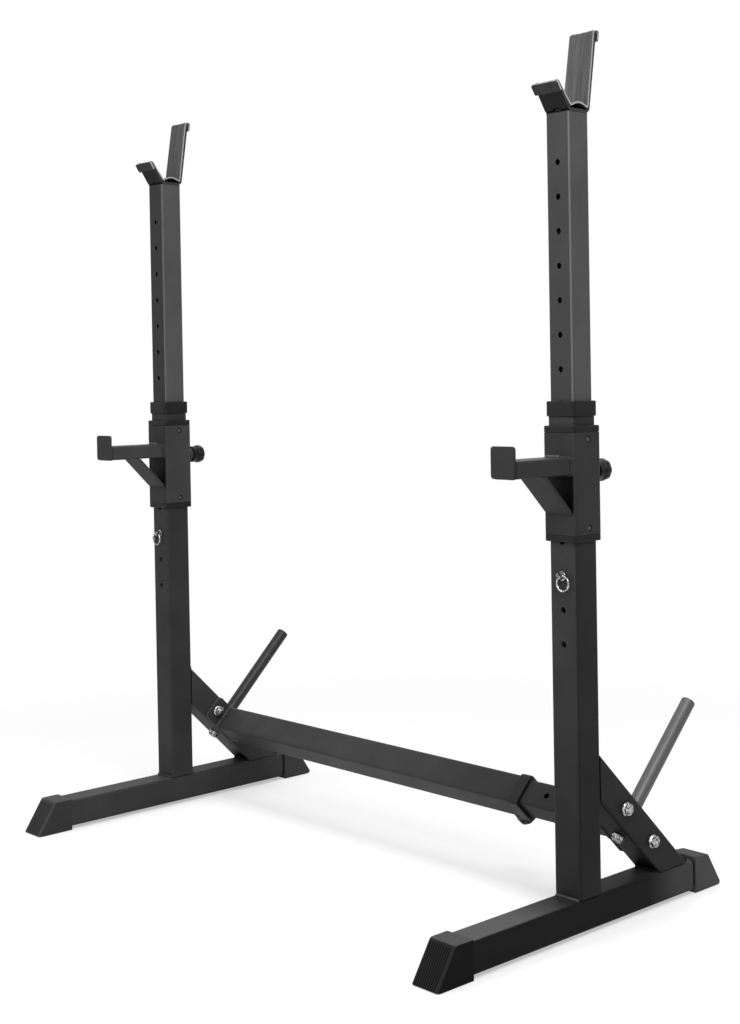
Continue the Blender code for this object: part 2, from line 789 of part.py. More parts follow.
def lock_pin(side, parent):
    """A round pin through both tubes. Its origin is where the ring passes through the head."""
    face = -OUTER_TUBE / 2 - GAP - LOCK_PIN_EYE_Y
    tail = LOCK_PIN_TAIL - LOCK_PIN_EYE_Y
    mesh = loft(
        [
            circle_ring(PIN_RADIUS, -0.0045),
            circle_ring(PIN_RADIUS + 0.0006, -0.0035),
            circle_ring(PIN_RADIUS + 0.0006, face - LOCK_PIN_HEAD),
            circle_ring(LOCK_PIN_HEAD_RADIUS - 0.0006, face - LOCK_PIN_HEAD),
            circle_ring(LOCK_PIN_HEAD_RADIUS, face - LOCK_PIN_HEAD + 0.0006),
            circle_ring(LOCK_PIN_HEAD_RADIUS, face),
            circle_ring(PIN_RADIUS, face),
            circle_ring(PIN_RADIUS, tail - 0.0015),
            circle_ring(PIN_RADIUS - 0.0012, tail),
        ]
    )
    pin = node(side + "_lock_pin", mesh, "chrome_steel", parent, (0, 0, 0), ALONG_Y)
    eye = rods([(0, 0, 0)], EYE_RADIUS, 0.02, (1, 0, 0))
    cut(pin, eye, pin.name + "_eye")
    for end in (-1, 1):
        flat = box(0.004, 0.02, 0.0088)
        cut(pin, flat, pin.name + "_flat_" + ("a", "b")[end > 0], (end * 0.0046, 0, -0.0009))
    return pin


def pull_ring(side, parent):
    """A wire ring that hangs in the pin's eye. Its origin is on its hinge axis."""
    rings = []
    for i in range(RING_STEPS):
        turn = 2 * math.pi * i / RING_STEPS
        outward = Vector((math.sin(turn), 0, math.cos(turn)))
        ring = []
        for step in range(6):
            around = math.radians(60 * step)
            offset = outward * math.cos(around) + Vector((0, 1, 0)) * math.sin(around)
            ring.append(outward * RING_RADIUS + offset * RING_WIRE / 2 - Vector((0, 0, RING_RADIUS)))
        rings.append(ring)
    mesh = loft(rings, closed=True)
    return node(side + "_pull_ring", mesh, "chrome_steel", parent)


# Brace, crossbar plates, bolts and pegs, in axes tilted with the brace:
# local Y runs down the brace, local Z points up and back along the peg

def brace(side, parent):
    """A square tube cut to sit on the leg and against the upright."""
    half = OUTER_TUBE / 2
    back_face = OUTER_TUBE / 2 + GAP
    upper = (back_face - CROSSBAR_Y) * math.sqrt(2)
    lower = (CROSSBAR_Z - LEG_TOP - GAP) * math.sqrt(2)
    rings = []
    for inset, radius, ends in ((0, TUBE_CORNER, ("up", "down")), (WALL, INNER_CORNER, ("down", "up"))):
        outline = square_points(half - inset, half - inset, radius)
        for end in ends:
            if end == "up":
                rings.append([(x, upper - z, z) for x, z in outline])
            else:
                rings.append([(x, lower + z, z) for x, z in outline])
    tube = node(side + "_diagonal_brace", loft(rings, closed=True), "coated_steel", parent)
    bolt_holes = [(0, offset, 0) for offset in (-BOLT_OFFSET, BOLT_OFFSET)]
    cut(tube, rods(bolt_holes, BOLT_HOLE_RADIUS, 0.08, (1, 0, 0)), tube.name + "_bolt_holes")
    cut(tube, rods([(0, 0, 0)], BOLT_HOLE_RADIUS, 0.08, (0, 0, 1)), tube.name + "_peg_hole")
    return tube


def crossbar_end_plate(side, sign, parent):
    """The plate on the crossbar's end, bolted to the brace's inner face."""
    inward = -sign * (OUTER_TUBE / 2 + GAP + PLATE / 2)
    mesh = plate_mesh(BAR_PLATE_LENGTH / 2, BAR_PLATE_WIDTH / 2, PLATE, 0.008)
    plate = node(side + "_crossbar_end_plate", mesh, "coated_steel", parent, (inward, 0, 0))
    bolt_holes = [(0, offset, 0) for offset in (-BOLT_OFFSET, BOLT_OFFSET)]
    cut(plate, rods(bolt_holes, BOLT_HOLE_RADIUS, 0.03, (1, 0, 0)), plate.name + "_bolt_holes")
    return plate


def bolt_head(top, seat):
    """Rings of a hexagon head and its washer, from the top down to the seat."""
    down = math.copysign(1, seat - top)
    under_head = seat - down * WASHER
    return [
        circle_ring(BOLT_HEX * 0.46, top, 12),
        hex_ring(BOLT_HEX, top + down * 0.0008),
        hex_ring(BOLT_HEX, under_head),
        circle_ring(WASHER_RADIUS, under_head, 12),
        circle_ring(WASHER_RADIUS, seat, 12),
        circle_ring(BOLT_RADIUS, seat, 12),
    ]


def through_bolt(name, sign, parent, offset):
    """Bolt, washers and nut through the brace and the end plate, head outside."""
    outer_seat = OUTER_TUBE / 2 + GAP
    inner_seat = -(OUTER_TUBE / 2 + PLATE + 2 * GAP)
    rings = bolt_head(outer_seat + WASHER + BOLT_HEAD, outer_seat)
    rings += bolt_head(inner_seat - WASHER - NUT_HEIGHT, inner_seat)[::-1]
    rings.append(circle_ring(BOLT_RADIUS, inner_seat - WASHER - NUT_HEIGHT, 12))
    rings.append(circle_ring(BOLT_RADIUS, inner_seat - WASHER - NUT_HEIGHT - 0.003, 12))
    turn = (0, sign * math.radians(90), 0)
    return node(name, loft(rings), "zinc_steel", parent, (0, offset, 0), turn)


def peg_bolt(side, parent):
    """The bolt that holds the peg, from the brace's underside."""
    seat = -OUTER_TUBE / 2 - GAP
    rings = bolt_head(seat - WASHER - BOLT_HEAD, seat)
    rings.append(circle_ring(BOLT_RADIUS, OUTER_TUBE / 2 + PEG_BORE_DEPTH - 0.002, 12))
    return node(side + "_peg_bolt", loft(rings), "zinc_steel", parent)


def weight_peg(side, parent):
    """A round bar that stores plates, bored for its bolt."""
    foot = OUTER_TUBE / 2 + GAP
    mesh = loft(
        [
            circle_ring(BOLT_HOLE_RADIUS, foot + PEG_BORE_DEPTH),
            circle_ring(BOLT_HOLE_RADIUS, foot),
            circle_ring(PEG_RADIUS, foot),
            circle_ring(PEG_RADIUS, foot + PEG_LENGTH - 0.001),
            circle_ring(PEG_RADIUS - 0.001, foot + PEG_LENGTH),
        ]
    )
    return node(side + "_weight_peg", mesh, "hammertone_steel", parent)


def crossbar_outer(parent):
    low = -BRACE_FACE + PLATE + 2 * GAP
    mesh = tube_mesh(OUTER_TUBE, OUTER_TUBE, low, CROSSBAR_OUTER_END)
    tube = node("crossbar_outer", mesh, "coated_steel", parent, (0, 0, 0), ALONG_X)
    pin_hole = rods([(0, 0.025, CROSSBAR_PLUNGER_X)], HOLE_RADIUS, 0.03, (0, 1, 0))
    cut(tube, pin_hole, "crossbar_outer_pin_hole")
    return tube


def crossbar_collar(parent):
    step = CROSSBAR_OUTER_END + GAP
    mesh = stepped_collar(CROSSBAR_COLLAR_WIDTH, CROSSBAR_COLLAR_START, step, CROSSBAR_COLLAR_END)
    return node("crossbar_collar", mesh, "grey_plastic", parent, (0, 0, 0), ALONG_X)


def crossbar_inner(parent):
    high = BRACE_FACE - PLATE - 2 * GAP
    mesh = tube_mesh(INNER_TUBE, INNER_TUBE, 0, high)
    tube = node("crossbar_inner", mesh, "coated_steel", parent, (0, 0, 0), ALONG_X)
    places = hole_row(CROSSBAR_FIRST_HOLE, CROSSBAR_HOLES, -HOLE_PITCH)
    drill = rods([(0, 0, z) for z in places], HOLE_RADIUS, 0.08, (0, 1, 0))
    cut(tube, drill, "crossbar_inner_holes")
    return tube


# Assemblies

def upright_side(side, sign):
    """One leg with its upright, and everything that stands, slides or hangs on it."""
    frame = empty(side + "_frame", None, (sign * HALF_SPAN, UPRIGHT_Y, 0))
    base_leg(side, frame)
    front_foot_cap(side, frame)
    rear_foot_cap(side, frame)
    outer_upright(side, frame)
    upright_collar(side, frame)

    height_slide = empty(side + "_height_slide", frame)
    inner_upright(side, height_slide)
    yoke(side, height_slide)
    yoke_liner(side, height_slide)

    catch_slide = empty(side + "_catch_slide", frame)
    sleeve(side, catch_slide)
    sleeve_bush(side, catch_slide, "top", SLEEVE_TOP, 1, TOP_NUB_Z)
    sleeve_bush(side, catch_slide, "bottom", SLEEVE_BOTTOM, -1, BOTTOM_NUB_Z)
    catch_arm(side, catch_slide)
    arm_end_plate(side, catch_slide)
    arm_gusset(side, catch_slide)
    plunger_axis = empty(
        side + "_plunger_axis", catch_slide, (0, SLEEVE_TUBE / 2, PLUNGER_HEIGHT), ALONG_Y
    )
    drawn = SLEEVE_PIN_TRAVEL
    plunger_boss(side + "_plunger_boss", SLEEVE_BOSS, plunger_axis)
    plunger_pin(side + "_plunger_pin", SLEEVE_PIN_REACH, SLEEVE_BOSS, drawn, plunger_axis)
    plunger_knob(side + "_plunger_knob", SLEEVE_BOSS, drawn, plunger_axis)
    spring_seat = drawn + 0.001 + SHOULDER
    plunger_spring(side + "_plunger_spring", spring_seat, SLEEVE_BOSS - BOSS_END_WALL, 2.2, plunger_axis)

    eye_place = (0, LOCK_PIN_EYE_Y, LOCK_PIN_HEIGHT)
    ring_hinge = empty(side + "_ring_hinge", frame, eye_place, (0, -sign * RING_ROLL, 0))
    lock_pin(side, ring_hinge)
    pull_ring(side, ring_hinge)

    tilted = empty(side + "_brace_axes", frame, (0, CROSSBAR_Y, CROSSBAR_Z), (TILT, 0, 0))
    brace(side, tilted)
    crossbar_end_plate(side, sign, tilted)
    through_bolt(side + "_upper_bolt", sign, tilted, -BOLT_OFFSET)
    through_bolt(side + "_lower_bolt", sign, tilted, BOLT_OFFSET)
    peg_bolt(side, tilted)
    weight_peg(side, tilted)


def crossbar():
    """Two telescoping tubes between the braces, and the plunger that locks them."""
    axis = empty("crossbar_axis", None, (0, UPRIGHT_Y + CROSSBAR_Y, CROSSBAR_Z), (TILT, 0, 0))
    crossbar_outer(axis)
    crossbar_collar(axis)
    crossbar_inner(axis)
    plunger_axis = empty(
        "crossbar_plunger_axis", axis, (CROSSBAR_PLUNGER_X, OUTER_TUBE / 2, 0), ALONG_Y
    )
    plunger_boss("crossbar_plunger_boss", CROSSBAR_BOSS, plunger_axis)
    plunger_pin("crossbar_plunger_pin", CROSSBAR_PIN_REACH, CROSSBAR_BOSS, 0, plunger_axis)
    plunger_knob("crossbar_plunger_knob", CROSSBAR_BOSS, 0, plunger_axis)
    plunger_spring(
        "crossbar_plunger_spring", 0.001 + SHOULDER, CROSSBAR_BOSS - BOSS_END_WALL, 6, plunger_axis
    )


clear_scene()
upright_side("left", -1)
upright_side("right", 1)
crossbar()
print("sub-parts", sum(1 for part in bpy.data.objects if part.type == "MESH" and not part.hide_render))
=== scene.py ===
# %% [markdown]
# # A squat rack, dressed for its picture
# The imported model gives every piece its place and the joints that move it. Each cell below
# builds one kind of piece again with finer corners and edges, gives it a finish, and hangs it
# on the body that carries it. Every mesh is built where the piece stands, in metres, so its
# texture coordinates are real distances too.

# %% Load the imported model
import math

import bmesh
import bpy
from mathutils import Matrix, Vector


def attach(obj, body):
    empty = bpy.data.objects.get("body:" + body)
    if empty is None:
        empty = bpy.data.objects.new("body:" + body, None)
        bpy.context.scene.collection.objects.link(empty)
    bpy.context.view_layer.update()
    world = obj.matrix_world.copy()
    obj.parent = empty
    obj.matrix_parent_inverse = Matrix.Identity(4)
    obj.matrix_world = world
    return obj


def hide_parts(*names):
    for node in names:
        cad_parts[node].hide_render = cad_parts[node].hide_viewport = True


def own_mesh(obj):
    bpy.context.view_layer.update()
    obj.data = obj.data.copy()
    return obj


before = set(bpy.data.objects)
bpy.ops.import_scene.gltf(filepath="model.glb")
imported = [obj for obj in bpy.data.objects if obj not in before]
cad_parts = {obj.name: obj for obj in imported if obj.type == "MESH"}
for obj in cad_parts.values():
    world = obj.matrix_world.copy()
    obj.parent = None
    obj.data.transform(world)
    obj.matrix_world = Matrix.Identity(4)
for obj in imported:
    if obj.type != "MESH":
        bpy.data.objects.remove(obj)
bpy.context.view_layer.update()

# %% [markdown]
# ## The camera
# The camera stands in front of the rack and out to its right, just above the height of the
# uprights' collars. It is turned by three angles, and the picture is cropped off centre. In
# Blender that crop is the camera's shift, measured in picture heights.

# %% Camera
PICTURE = (740, 1024)
FOCAL_PIXELS = 1559.8
OPTICAL_CENTRE = (423.5, 406.2)
CAMERA_PLACE = (2.0204, -1.7279, 0.812)
CAMERA_YAW, CAMERA_PITCH, CAMERA_ROLL = (math.radians(a) for a in (46.52, -0.97, -0.96))


def camera_axes(yaw, pitch, roll):
    """The camera's right, up and backward directions."""
    ahead = Vector((
        -math.sin(yaw) * math.cos(pitch),
        math.cos(yaw) * math.cos(pitch),
        math.sin(pitch),
    ))
    level = ahead.cross(Vector((0, 0, 1))).normalized()
    upright = level.cross(ahead)
    right = math.cos(roll) * level + math.sin(roll) * upright
    up = math.cos(roll) * upright - math.sin(roll) * level
    return right, up, -ahead


camera = bpy.data.objects.new("camera", bpy.data.cameras.new("camera"))
bpy.context.collection.objects.link(camera)
right, up, back = camera_axes(CAMERA_YAW, CAMERA_PITCH, CAMERA_ROLL)
turn = Matrix((right, up, back)).transposed().to_4x4()
camera.matrix_world = Matrix.Translation(CAMERA_PLACE) @ turn
camera.data.sensor_fit = "VERTICAL"
camera.data.sensor_height = 24
camera.data.lens = FOCAL_PIXELS / PICTURE[1] * camera.data.sensor_height
camera.data.shift_x = (PICTURE[0] / 2 - OPTICAL_CENTRE[0]) / PICTURE[1]
camera.data.shift_y = (OPTICAL_CENTRE[1] - PICTURE[1] / 2) / PICTURE[1]
bpy.context.scene.camera = camera
print("lens", round(camera.data.lens, 2), "mm")

# %% [markdown]
# ## Shader sums
# A material is a graph of nodes, and long graphs are hard to read. The class below wraps one
# socket, so that a sum such as `0.4 + 0.1 * mottle` writes its own Math nodes.

# %% One class for shader sums
class Socket:
    """One output of a material's node tree. Sums on it add Math nodes."""

    def __init__(self, tree, output=None):
        self.tree = tree
        self.output = output

    def node(self, kind, settings, inputs, output=0):
        """Adds a node: its settings first, then the values or links of its sockets."""
        made = self.tree.nodes.new(kind)
        for name, value in settings.items():
            setattr(made, name, value)
        for name, value in inputs.items():
            if isinstance(value, Socket):
                self.tree.links.new(value.output, made.inputs[name])
            else:
                made.inputs[name].default_value = value
        return Socket(self.tree, made.outputs[output])

    def math(self, operation, *values):
        return self.node("ShaderNodeMath", {"operation": operation}, dict(enumerate(values)))

    def __add__(self, other):
        return self.math("ADD", self, other)

    def __radd__(self, other):
        return self.math("ADD", other, self)

    def __sub__(self, other):
        return self.math("SUBTRACT", self, other)

    def __rsub__(self, other):
        return self.math("SUBTRACT", other, self)

    def __mul__(self, other):
        return self.math("MULTIPLY", self, other)

    def __rmul__(self, other):
        return self.math("MULTIPLY", other, self)

    def between(self, low, high):
        """0 at low, 1 at high, and a straight run in between."""
        inputs = {"Value": self, "From Min": low, "From Max": high}
        return self.node("ShaderNodeMapRange", {"clamp": True}, inputs)

    def mix(self, factor, first, second):
        """Two colours mixed by a factor."""
        settings = {"data_type": "RGBA", "clamp_factor": True}
        return self.node("ShaderNodeMix", settings, {0: factor, 6: first, 7: second}, 2)

    def noise(self, scale, detail=2.0, roughness=0.5, vector=None):
        place = vector or self.place()
        inputs = {"Vector": place, "Scale": scale, "Detail": detail, "Roughness": roughness}
        return self.node("ShaderNodeTexNoise", {}, inputs)

    def place(self):
        """Where the point is on the object, in metres."""
        return self.node("ShaderNodeTexCoord", {}, {}, "Object")

    def coordinate(self, axis):
        """One coordinate of that place."""
        return self.node("ShaderNodeSeparateXYZ", {}, {0: self.place()}, axis)

    def facing(self, axis):
        """How far the surface faces along an axis, from -1 to 1."""
        normal = self.node("ShaderNodeNewGeometry", {}, {}, "Normal")
        return self.node("ShaderNodeSeparateXYZ", {}, {0: normal}, axis)

    def bump(self, height, strength, distance):
        """A normal that leans with the slopes of a height field."""
        inputs = {"Strength": strength, "Distance": distance, "Height": height}
        return self.node("ShaderNodeBump", {}, inputs)

    def stretched(self, x, y, z):
        """The place, with each direction scaled by its own factor."""
        inputs = {0: self.place(), 1: (x, y, z)}
        return self.node("ShaderNodeVectorMath", {"operation": "MULTIPLY"}, inputs)


def grey(level, tint=(0, 0, 0)):
    """A colour of one level, with a small tint added."""
    return (level + tint[0], level + tint[1], level + tint[2], 1.0)


def start_material(name):
    material = bpy.data.materials.new(name)
    material.use_nodes = True
    tree = material.node_tree
    return material, Socket(tree), tree.nodes["Principled BSDF"]


def connect(shader, values):
    """Sets the shader's sockets: links where the value is a Socket, constants elsewhere."""
    tree = shader.id_data
    for name, value in values.items():
        if isinstance(value, Socket):
            tree.links.new(value.output, shader.inputs[name])
        else:
            shader.inputs[name].default_value = value


# %% [markdown]
# ## Where a finish changes
# All the steel is powder coated: a paint that is sprayed on dry and melted, so it has a fine
# orange peel, it thins a little over edges, and it picks up pale rub marks there. The peel is
# a bump from fine noise. The edges are found with a Bevel node: where the rounded normal
# leaves the true one, the surface is near an edge. A coat has three tones, for the faces that
# look forward, sideways and up: painted light and shade, each face's share of the light put
# into its colour. The tones sink low down on the right as painted shade, and the tops near
# the toes carry a painted highlight. The masks below are 1 where a finish changes and 0
# elsewhere, and shade is the share of its tone that a coat keeps.

# %% Masks
def edge_mask(socket, radius):
    """1 on edges that are sharper than the radius, 0 on flat faces."""
    rounded = socket.node("ShaderNodeBevel", {"samples": 4}, {"Radius": radius})
    true = socket.node("ShaderNodeNewGeometry", {}, {}, "Normal")
    settings = {"operation": "DOT_PRODUCT"}
    straight = socket.node("ShaderNodeVectorMath", settings, {0: rounded, 1: true}, "Value")
    return (1.0 - straight).between(0.02, 0.20)


def side_mask(socket):
    """1 on faces that look along X and 0 on the rest."""
    return socket.math("ABSOLUTE", socket.facing("X")).between(0.60, 0.85)


def top_mask(socket):
    """1 on faces that look up and 0 on the rest."""
    return socket.facing("Z").between(0.75, 0.95)


def shade(socket):
    """How much of its tone a coat keeps here: all of it, but for 0.4 low down on the right."""
    low_down = 1.0 - socket.coordinate("Z").between(0.15, 0.65)
    return 1.0 - 0.6 * socket.coordinate("X").between(0.0, 0.45) * low_down


def toe_highlight(socket):
    """1 on upward faces near the toes, where a highlight is painted, fading out along the leg."""
    return top_mask(socket) * (1.0 - socket.coordinate("Y").between(-0.14, -0.045))


def brace_foot_shade(socket):
    """1 on the front and back of a brace's lowest end, where shade is painted nearly black."""
    return (1.0 - side_mask(socket)) * (1.0 - socket.coordinate("Z").between(0.066, 0.084))


def rear_end(socket):
    """1 at the rear end of a leg, fading out towards its middle."""
    return socket.coordinate("Y").between(0.13, 0.20)


def gusset_shadow(socket):
    """1 on the sleeve's front between arm and prop, where hardly any light gets in."""
    height = socket.coordinate("Z")
    in_front = 1.0 - socket.coordinate("Y").between(-0.0335, -0.0325)
    behind = (1.0 - side_mask(socket)) * in_front
    return behind * height.between(0.613, 0.618) * (1.0 - height.between(0.669, 0.671))


def corner_highlight(socket):
    """1 on a narrow line down a tube's round corners, where a highlight is painted."""
    turned = socket.math("ABSOLUTE", socket.facing("X"))
    return turned.between(0.45, 0.60) * (1.0 - turned.between(0.80, 0.92))


print("masks read the place in metres and the way that a face looks")

# %% [markdown]
# ## Powder coat
# One function makes every coat from its three tones of painted light and shade. Clouds, specks
# and worn edges lie over them, and patches change the level where a mask says so, most of them
# to paint shade and highlights.

# %% Powder coat
COOL_GREY = (0.0004, 0.0, 0.0010)


def toned(socket, front, side, top, tint=(0, 0, 0)):
    """The three tones of a coat, each on the faces that look its way, as painted light and shade.
    """
    walls = socket.mix(side_mask(socket), grey(front, tint), grey(side, tint))
    return socket.mix(top_mask(socket), walls, grey(top, tint))


def powder_coat(name, tones, roughness=0.50, gloss=0.12, edge_level=0.06, patches=()):
    """A coat with painted light and shade: tones for the faces that look forward, sideways and up.

    Each patch is a mask and the level the coat takes there.
    """
    material, socket, shader = start_material(name)
    mottle = socket.noise(14, detail=3)
    specks = socket.noise(160, detail=4, roughness=0.7)
    rub = socket.noise(70, detail=3).between(0.42, 0.62)
    worn = edge_mask(socket, 0.0012) * rub
    base = toned(socket, *tones, COOL_GREY)
    dappled = socket.mix(mottle.between(0.3, 0.7) * 0.25, base, grey(0.0))
    speckled = socket.mix(specks.between(0.60, 0.74) * 0.04, dappled, grey(0.25))
    # The shade mask paints shade into the coat low down on the right.
    coated = socket.mix(shade(socket), grey(0.0), speckled)
    for mask, level in patches:
        coated = socket.mix(mask(socket), coated, grey(level))
    colour = socket.mix(worn * 0.55, coated, grey(edge_level, COOL_GREY))
    peel = socket.noise(700, detail=2, roughness=0.6)
    connect(shader, {
        "Base Color": colour,
        "Roughness": roughness + 0.10 * (mottle - 0.5) + 0.12 * (specks - 0.5),
        "Normal": socket.bump(peel, 0.35, 0.00025),
        "Specular IOR Level": gloss,
    })
    return material


# Each coat's three tones, and the differences between its left and right copies, are painted light
# and shade. The right leg's coat also carries a painted highlight near the toe.
coat_leg = {
    "left": powder_coat("leg_coat_left", (0.034, 0.033, 0.050), gloss=0.05),
    "right": powder_coat(
        "leg_coat_right", (0.024, 0.015, 0.045), gloss=0.05,
        patches=((toe_highlight, 0.066), (rear_end, 0.036)),
    ),
}
# The braces' coats carry painted shade at their lowest ends.
coat_brace = {
    "left": powder_coat(
        "brace_coat_left", (0.070, 0.034, 0.070), gloss=0.06, patches=((brace_foot_shade, 0.002),)
    ),
    "right": powder_coat(
        "brace_coat_right", (0.030, 0.038, 0.045), gloss=0.06, patches=((brace_foot_shade, 0.001),)
    ),
}
coat_outer = {
    "left": powder_coat("outer_coat_left", (0.029, 0.025, 0.030), gloss=0.08),
    "right": powder_coat("outer_coat_right", (0.041, 0.019, 0.030), gloss=0.08),
}
# The inner tubes' coats carry a painted highlight down their round corners.
coat_inner = {
    "left": powder_coat(
        "inner_coat_left", (0.014, 0.053, 0.040), gloss=0.18, edge_level=0.11,
        patches=((corner_highlight, 0.075),),
    ),
    "right": powder_coat(
        "inner_coat_right", (0.026, 0.044, 0.040), gloss=0.24, edge_level=0.11,
        patches=((corner_highlight, 0.085),),
    ),
}
coat_catch = {
    "left": powder_coat("catch_coat_left", (0.022, 0.034, 0.030), gloss=0.12),
    "right": powder_coat("catch_coat_right", (0.027, 0.021, 0.030), gloss=0.12),
}
coat_sleeve = {
    "left": powder_coat(
        "sleeve_coat_left", (0.022, 0.034, 0.030), gloss=0.12, patches=((gusset_shadow, 0.0),)
    ),
    "right": powder_coat(
        "sleeve_coat_right", (0.028, 0.021, 0.030), gloss=0.12, patches=((gusset_shadow, 0.0),)
    ),
}
coat_bar = powder_coat("bar_coat", (0.034, 0.030, 0.036), gloss=0.11)
# The weld coat's pale tones are a painted highlight.
highlight_weld_coat = powder_coat("weld_coat", (0.040, 0.040, 0.060), 0.40, gloss=0.40, edge_level=0.11)
# This coat is painted shade for the beads at the braces' feet.
painted_shade_weld_coat = powder_coat("dark_weld_coat", (0.006, 0.006, 0.006), gloss=0.06, edge_level=0.01)
coat_yoke = powder_coat("yoke_coat", (0.0040, 0.022, 0.012), 0.48, gloss=0.15, edge_level=0.09)
print("coats", [material.name for material in bpy.data.materials if "coat" in material.name])

# %% [markdown]
# ## Hammered coat
# The weight pegs carry a hammered grey coat, which dries into small round dimples. A Voronoi
# texture has such cells, and its distance field makes the dimples.

# %% Hammered coat
def hammered_coat(name, level):
    material, socket, shader = start_material(name)
    inputs = {"Vector": socket.place(), "Scale": 330.0}
    cells = socket.node("ShaderNodeTexVoronoi", {"feature": "SMOOTH_F1"}, inputs)
    mottle = socket.noise(60, detail=3)
    scuff = socket.noise(24, detail=4, roughness=0.7).between(0.55, 0.75)
    base = socket.mix(mottle, grey(level * 0.8), grey(level * 1.2))
    colour = socket.mix(scuff * 0.5, base, grey(level * 0.45))
    connect(shader, {
        "Base Color": colour,
        "Roughness": 0.46 + 0.15 * scuff,
        "Metallic": 0.40,
        "Normal": socket.bump(cells, 0.5, 0.0004),
    })
    return material


# The left peg's much darker level is painted shade.
coat_hammered = {
    "left": hammered_coat("hammered_coat_left", 0.012),
    "right": hammered_coat("hammered_coat_right", 0.066),
}
print("hammered coats for", list(coat_hammered))

# %% [markdown]
# ## Plastics
# The feet, collars and bushes are moulded in a fine spark texture, the knobs in the same
# plastic but glossier, and the yokes' liners in a smoother grey plastic with drag marks where
# bars have been set down. Like the coats, each plastic has three tones of painted light and
# shade. An Ambient Occlusion node paints shade into the grooves between ribs.

# %% Plastics
def moulded_plastic(name, tones, roughness, grain, gloss, patches=()):
    """A plastic with tones for the faces that look forward, sideways and up, as painted light and
    shade.
    """
    material, socket, shader = start_material(name)
    mottle = socket.noise(20, detail=3)
    spark = socket.noise(1100, detail=2)
    scuff = socket.noise(90, detail=4, roughness=0.75).between(0.60, 0.78)
    settings = {"samples": 4, "only_local": True}
    open_sky = socket.node("ShaderNodeAmbientOcclusion", settings, {"Distance": 0.003}, "AO")
    base = socket.mix(mottle * 0.25, toned(socket, *tones), grey(0.0))
    # Ambient occlusion paints shade into the grooves.
    base = socket.mix(open_sky.between(0.50, 0.95), grey(0.0), base)
    for mask, level in patches:
        base = socket.mix(mask(socket), base, grey(level))
    rubbed = edge_mask(socket, 0.0010) * scuff
    colour = socket.mix(0.20 * scuff + 0.4 * rubbed, base, grey(tones[0] * 1.9 + 0.006))
    connect(shader, {
        "Base Color": colour,
        "Roughness": roughness + 0.12 * scuff + 0.06 * (mottle - 0.5),
        "Normal": socket.bump(spark, grain, 0.0002),
        "Specular IOR Level": gloss,
    })
    return material


def liner_plastic(name, level, painted_side_light):
    material, socket, shader = start_material(name)
    mottle = socket.noise(26, detail=3)
    drag = socket.noise(1.0, detail=3, roughness=0.6, vector=socket.stretched(210, 7, 7))
    marks = drag.between(0.44, 0.60)
    base = socket.mix(mottle, grey(level * 0.9), grey(level * 1.1))
    streaked = socket.mix(marks * 0.7, base, grey(level * 0.45))
    # Painted shade: the front lip keeps only a quarter of the tone.
    unshaded_share = 0.25 + 0.75 * socket.coordinate("Y").between(-0.044, -0.034)
    streaked = socket.mix(unshaded_share, grey(0.0), streaked)
    # Painted highlight: the side faces are painted lighter.
    colour = socket.mix(side_mask(socket), streaked, grey(painted_side_light))
    connect(shader, {
        "Base Color": colour,
        "Roughness": 0.30 + 0.25 * marks,
        "Normal": socket.bump(drag, 0.25, 0.0003),
        "Specular IOR Level": 0.30,
    })
    return material


# The left and right copies of the toe and heel plastics differ by painted light and shade, and the
# right toe carries a painted highlight.
plastic_toe = {
    "left": moulded_plastic("toe_plastic_left", (0.050, 0.031, 0.055), 0.55, 0.35, 0.05),
    "right": moulded_plastic(
        "toe_plastic_right", (0.016, 0.003, 0.024), 0.55, 0.35, 0.05, ((toe_highlight, 0.052),)
    ),
}
plastic_heel = {
    "left": moulded_plastic("heel_plastic_left", (0.060, 0.040, 0.060), 0.55, 0.35, 0.05),
    "right": moulded_plastic("heel_plastic_right", (0.060, 0.056, 0.048), 0.55, 0.35, 0.05),
}
plastic_collar = moulded_plastic("collar_plastic", (0.0100, 0.0055, 0.0100), 0.45, 0.25, 0.15)
plastic_knob = moulded_plastic("knob_plastic", (0.0045, 0.0045, 0.0045), 0.30, 0.10, 0.16)
plastic_nub = moulded_plastic("nub_plastic", (0.030, 0.050, 0.050), 0.40, 0.10, 0.30)
plastic_liner = liner_plastic("liner_plastic", 0.040, 0.22)
print("plastics", [material.name for material in bpy.data.materials if "plastic" in material.name])

# %% [markdown]
# ## Bare metals
# Bolts, washers and plunger pins are zinc plated, bright with faint clouding. Locking pins and
# rings are chromed. A bare metal has no colour of its own under the light: its base colour is
# what it reflects, so Metallic is 1 and the roughness does the rest.

# %% Bare metals
def bare_metal(name, level, low_level, roughness, clouding):
    """A metal that reflects between two levels, in clouds of a few millimetres."""
    material, socket, shader = start_material(name)
    cloud = socket.noise(260, detail=3, roughness=0.6)
    scratch = socket.noise(1.0, detail=3, vector=socket.stretched(900, 900, 90))
    colour = socket.mix(cloud.between(0.40, 0.60), grey(level), grey(low_level))
    connect(shader, {
        "Base Color": colour,
        "Roughness": roughness + 0.25 * cloud.between(0.45, 0.7) * clouding,
        "Metallic": 1.0,
        "Normal": socket.bump(scratch, 0.12, 0.0001),
    })
    return material


zinc = bare_metal("zinc_plating", 0.48, 0.07, 0.24, 0.7)
chrome = bare_metal("chrome_plating", 0.62, 0.16, 0.12, 0.4)
spring_wire = bare_metal("spring_wire", 0.45, 0.25, 0.35, 0.5)
print("metals", [metal.name for metal in (zinc, chrome, spring_wire)])

# %% [markdown]
# ## Lofts
# Nearly every piece is a loft: a section that runs from one ring of points to the next.

# %% Lofts and rings
HOLE_STEPS = 28
CORNER_STEPS = 7


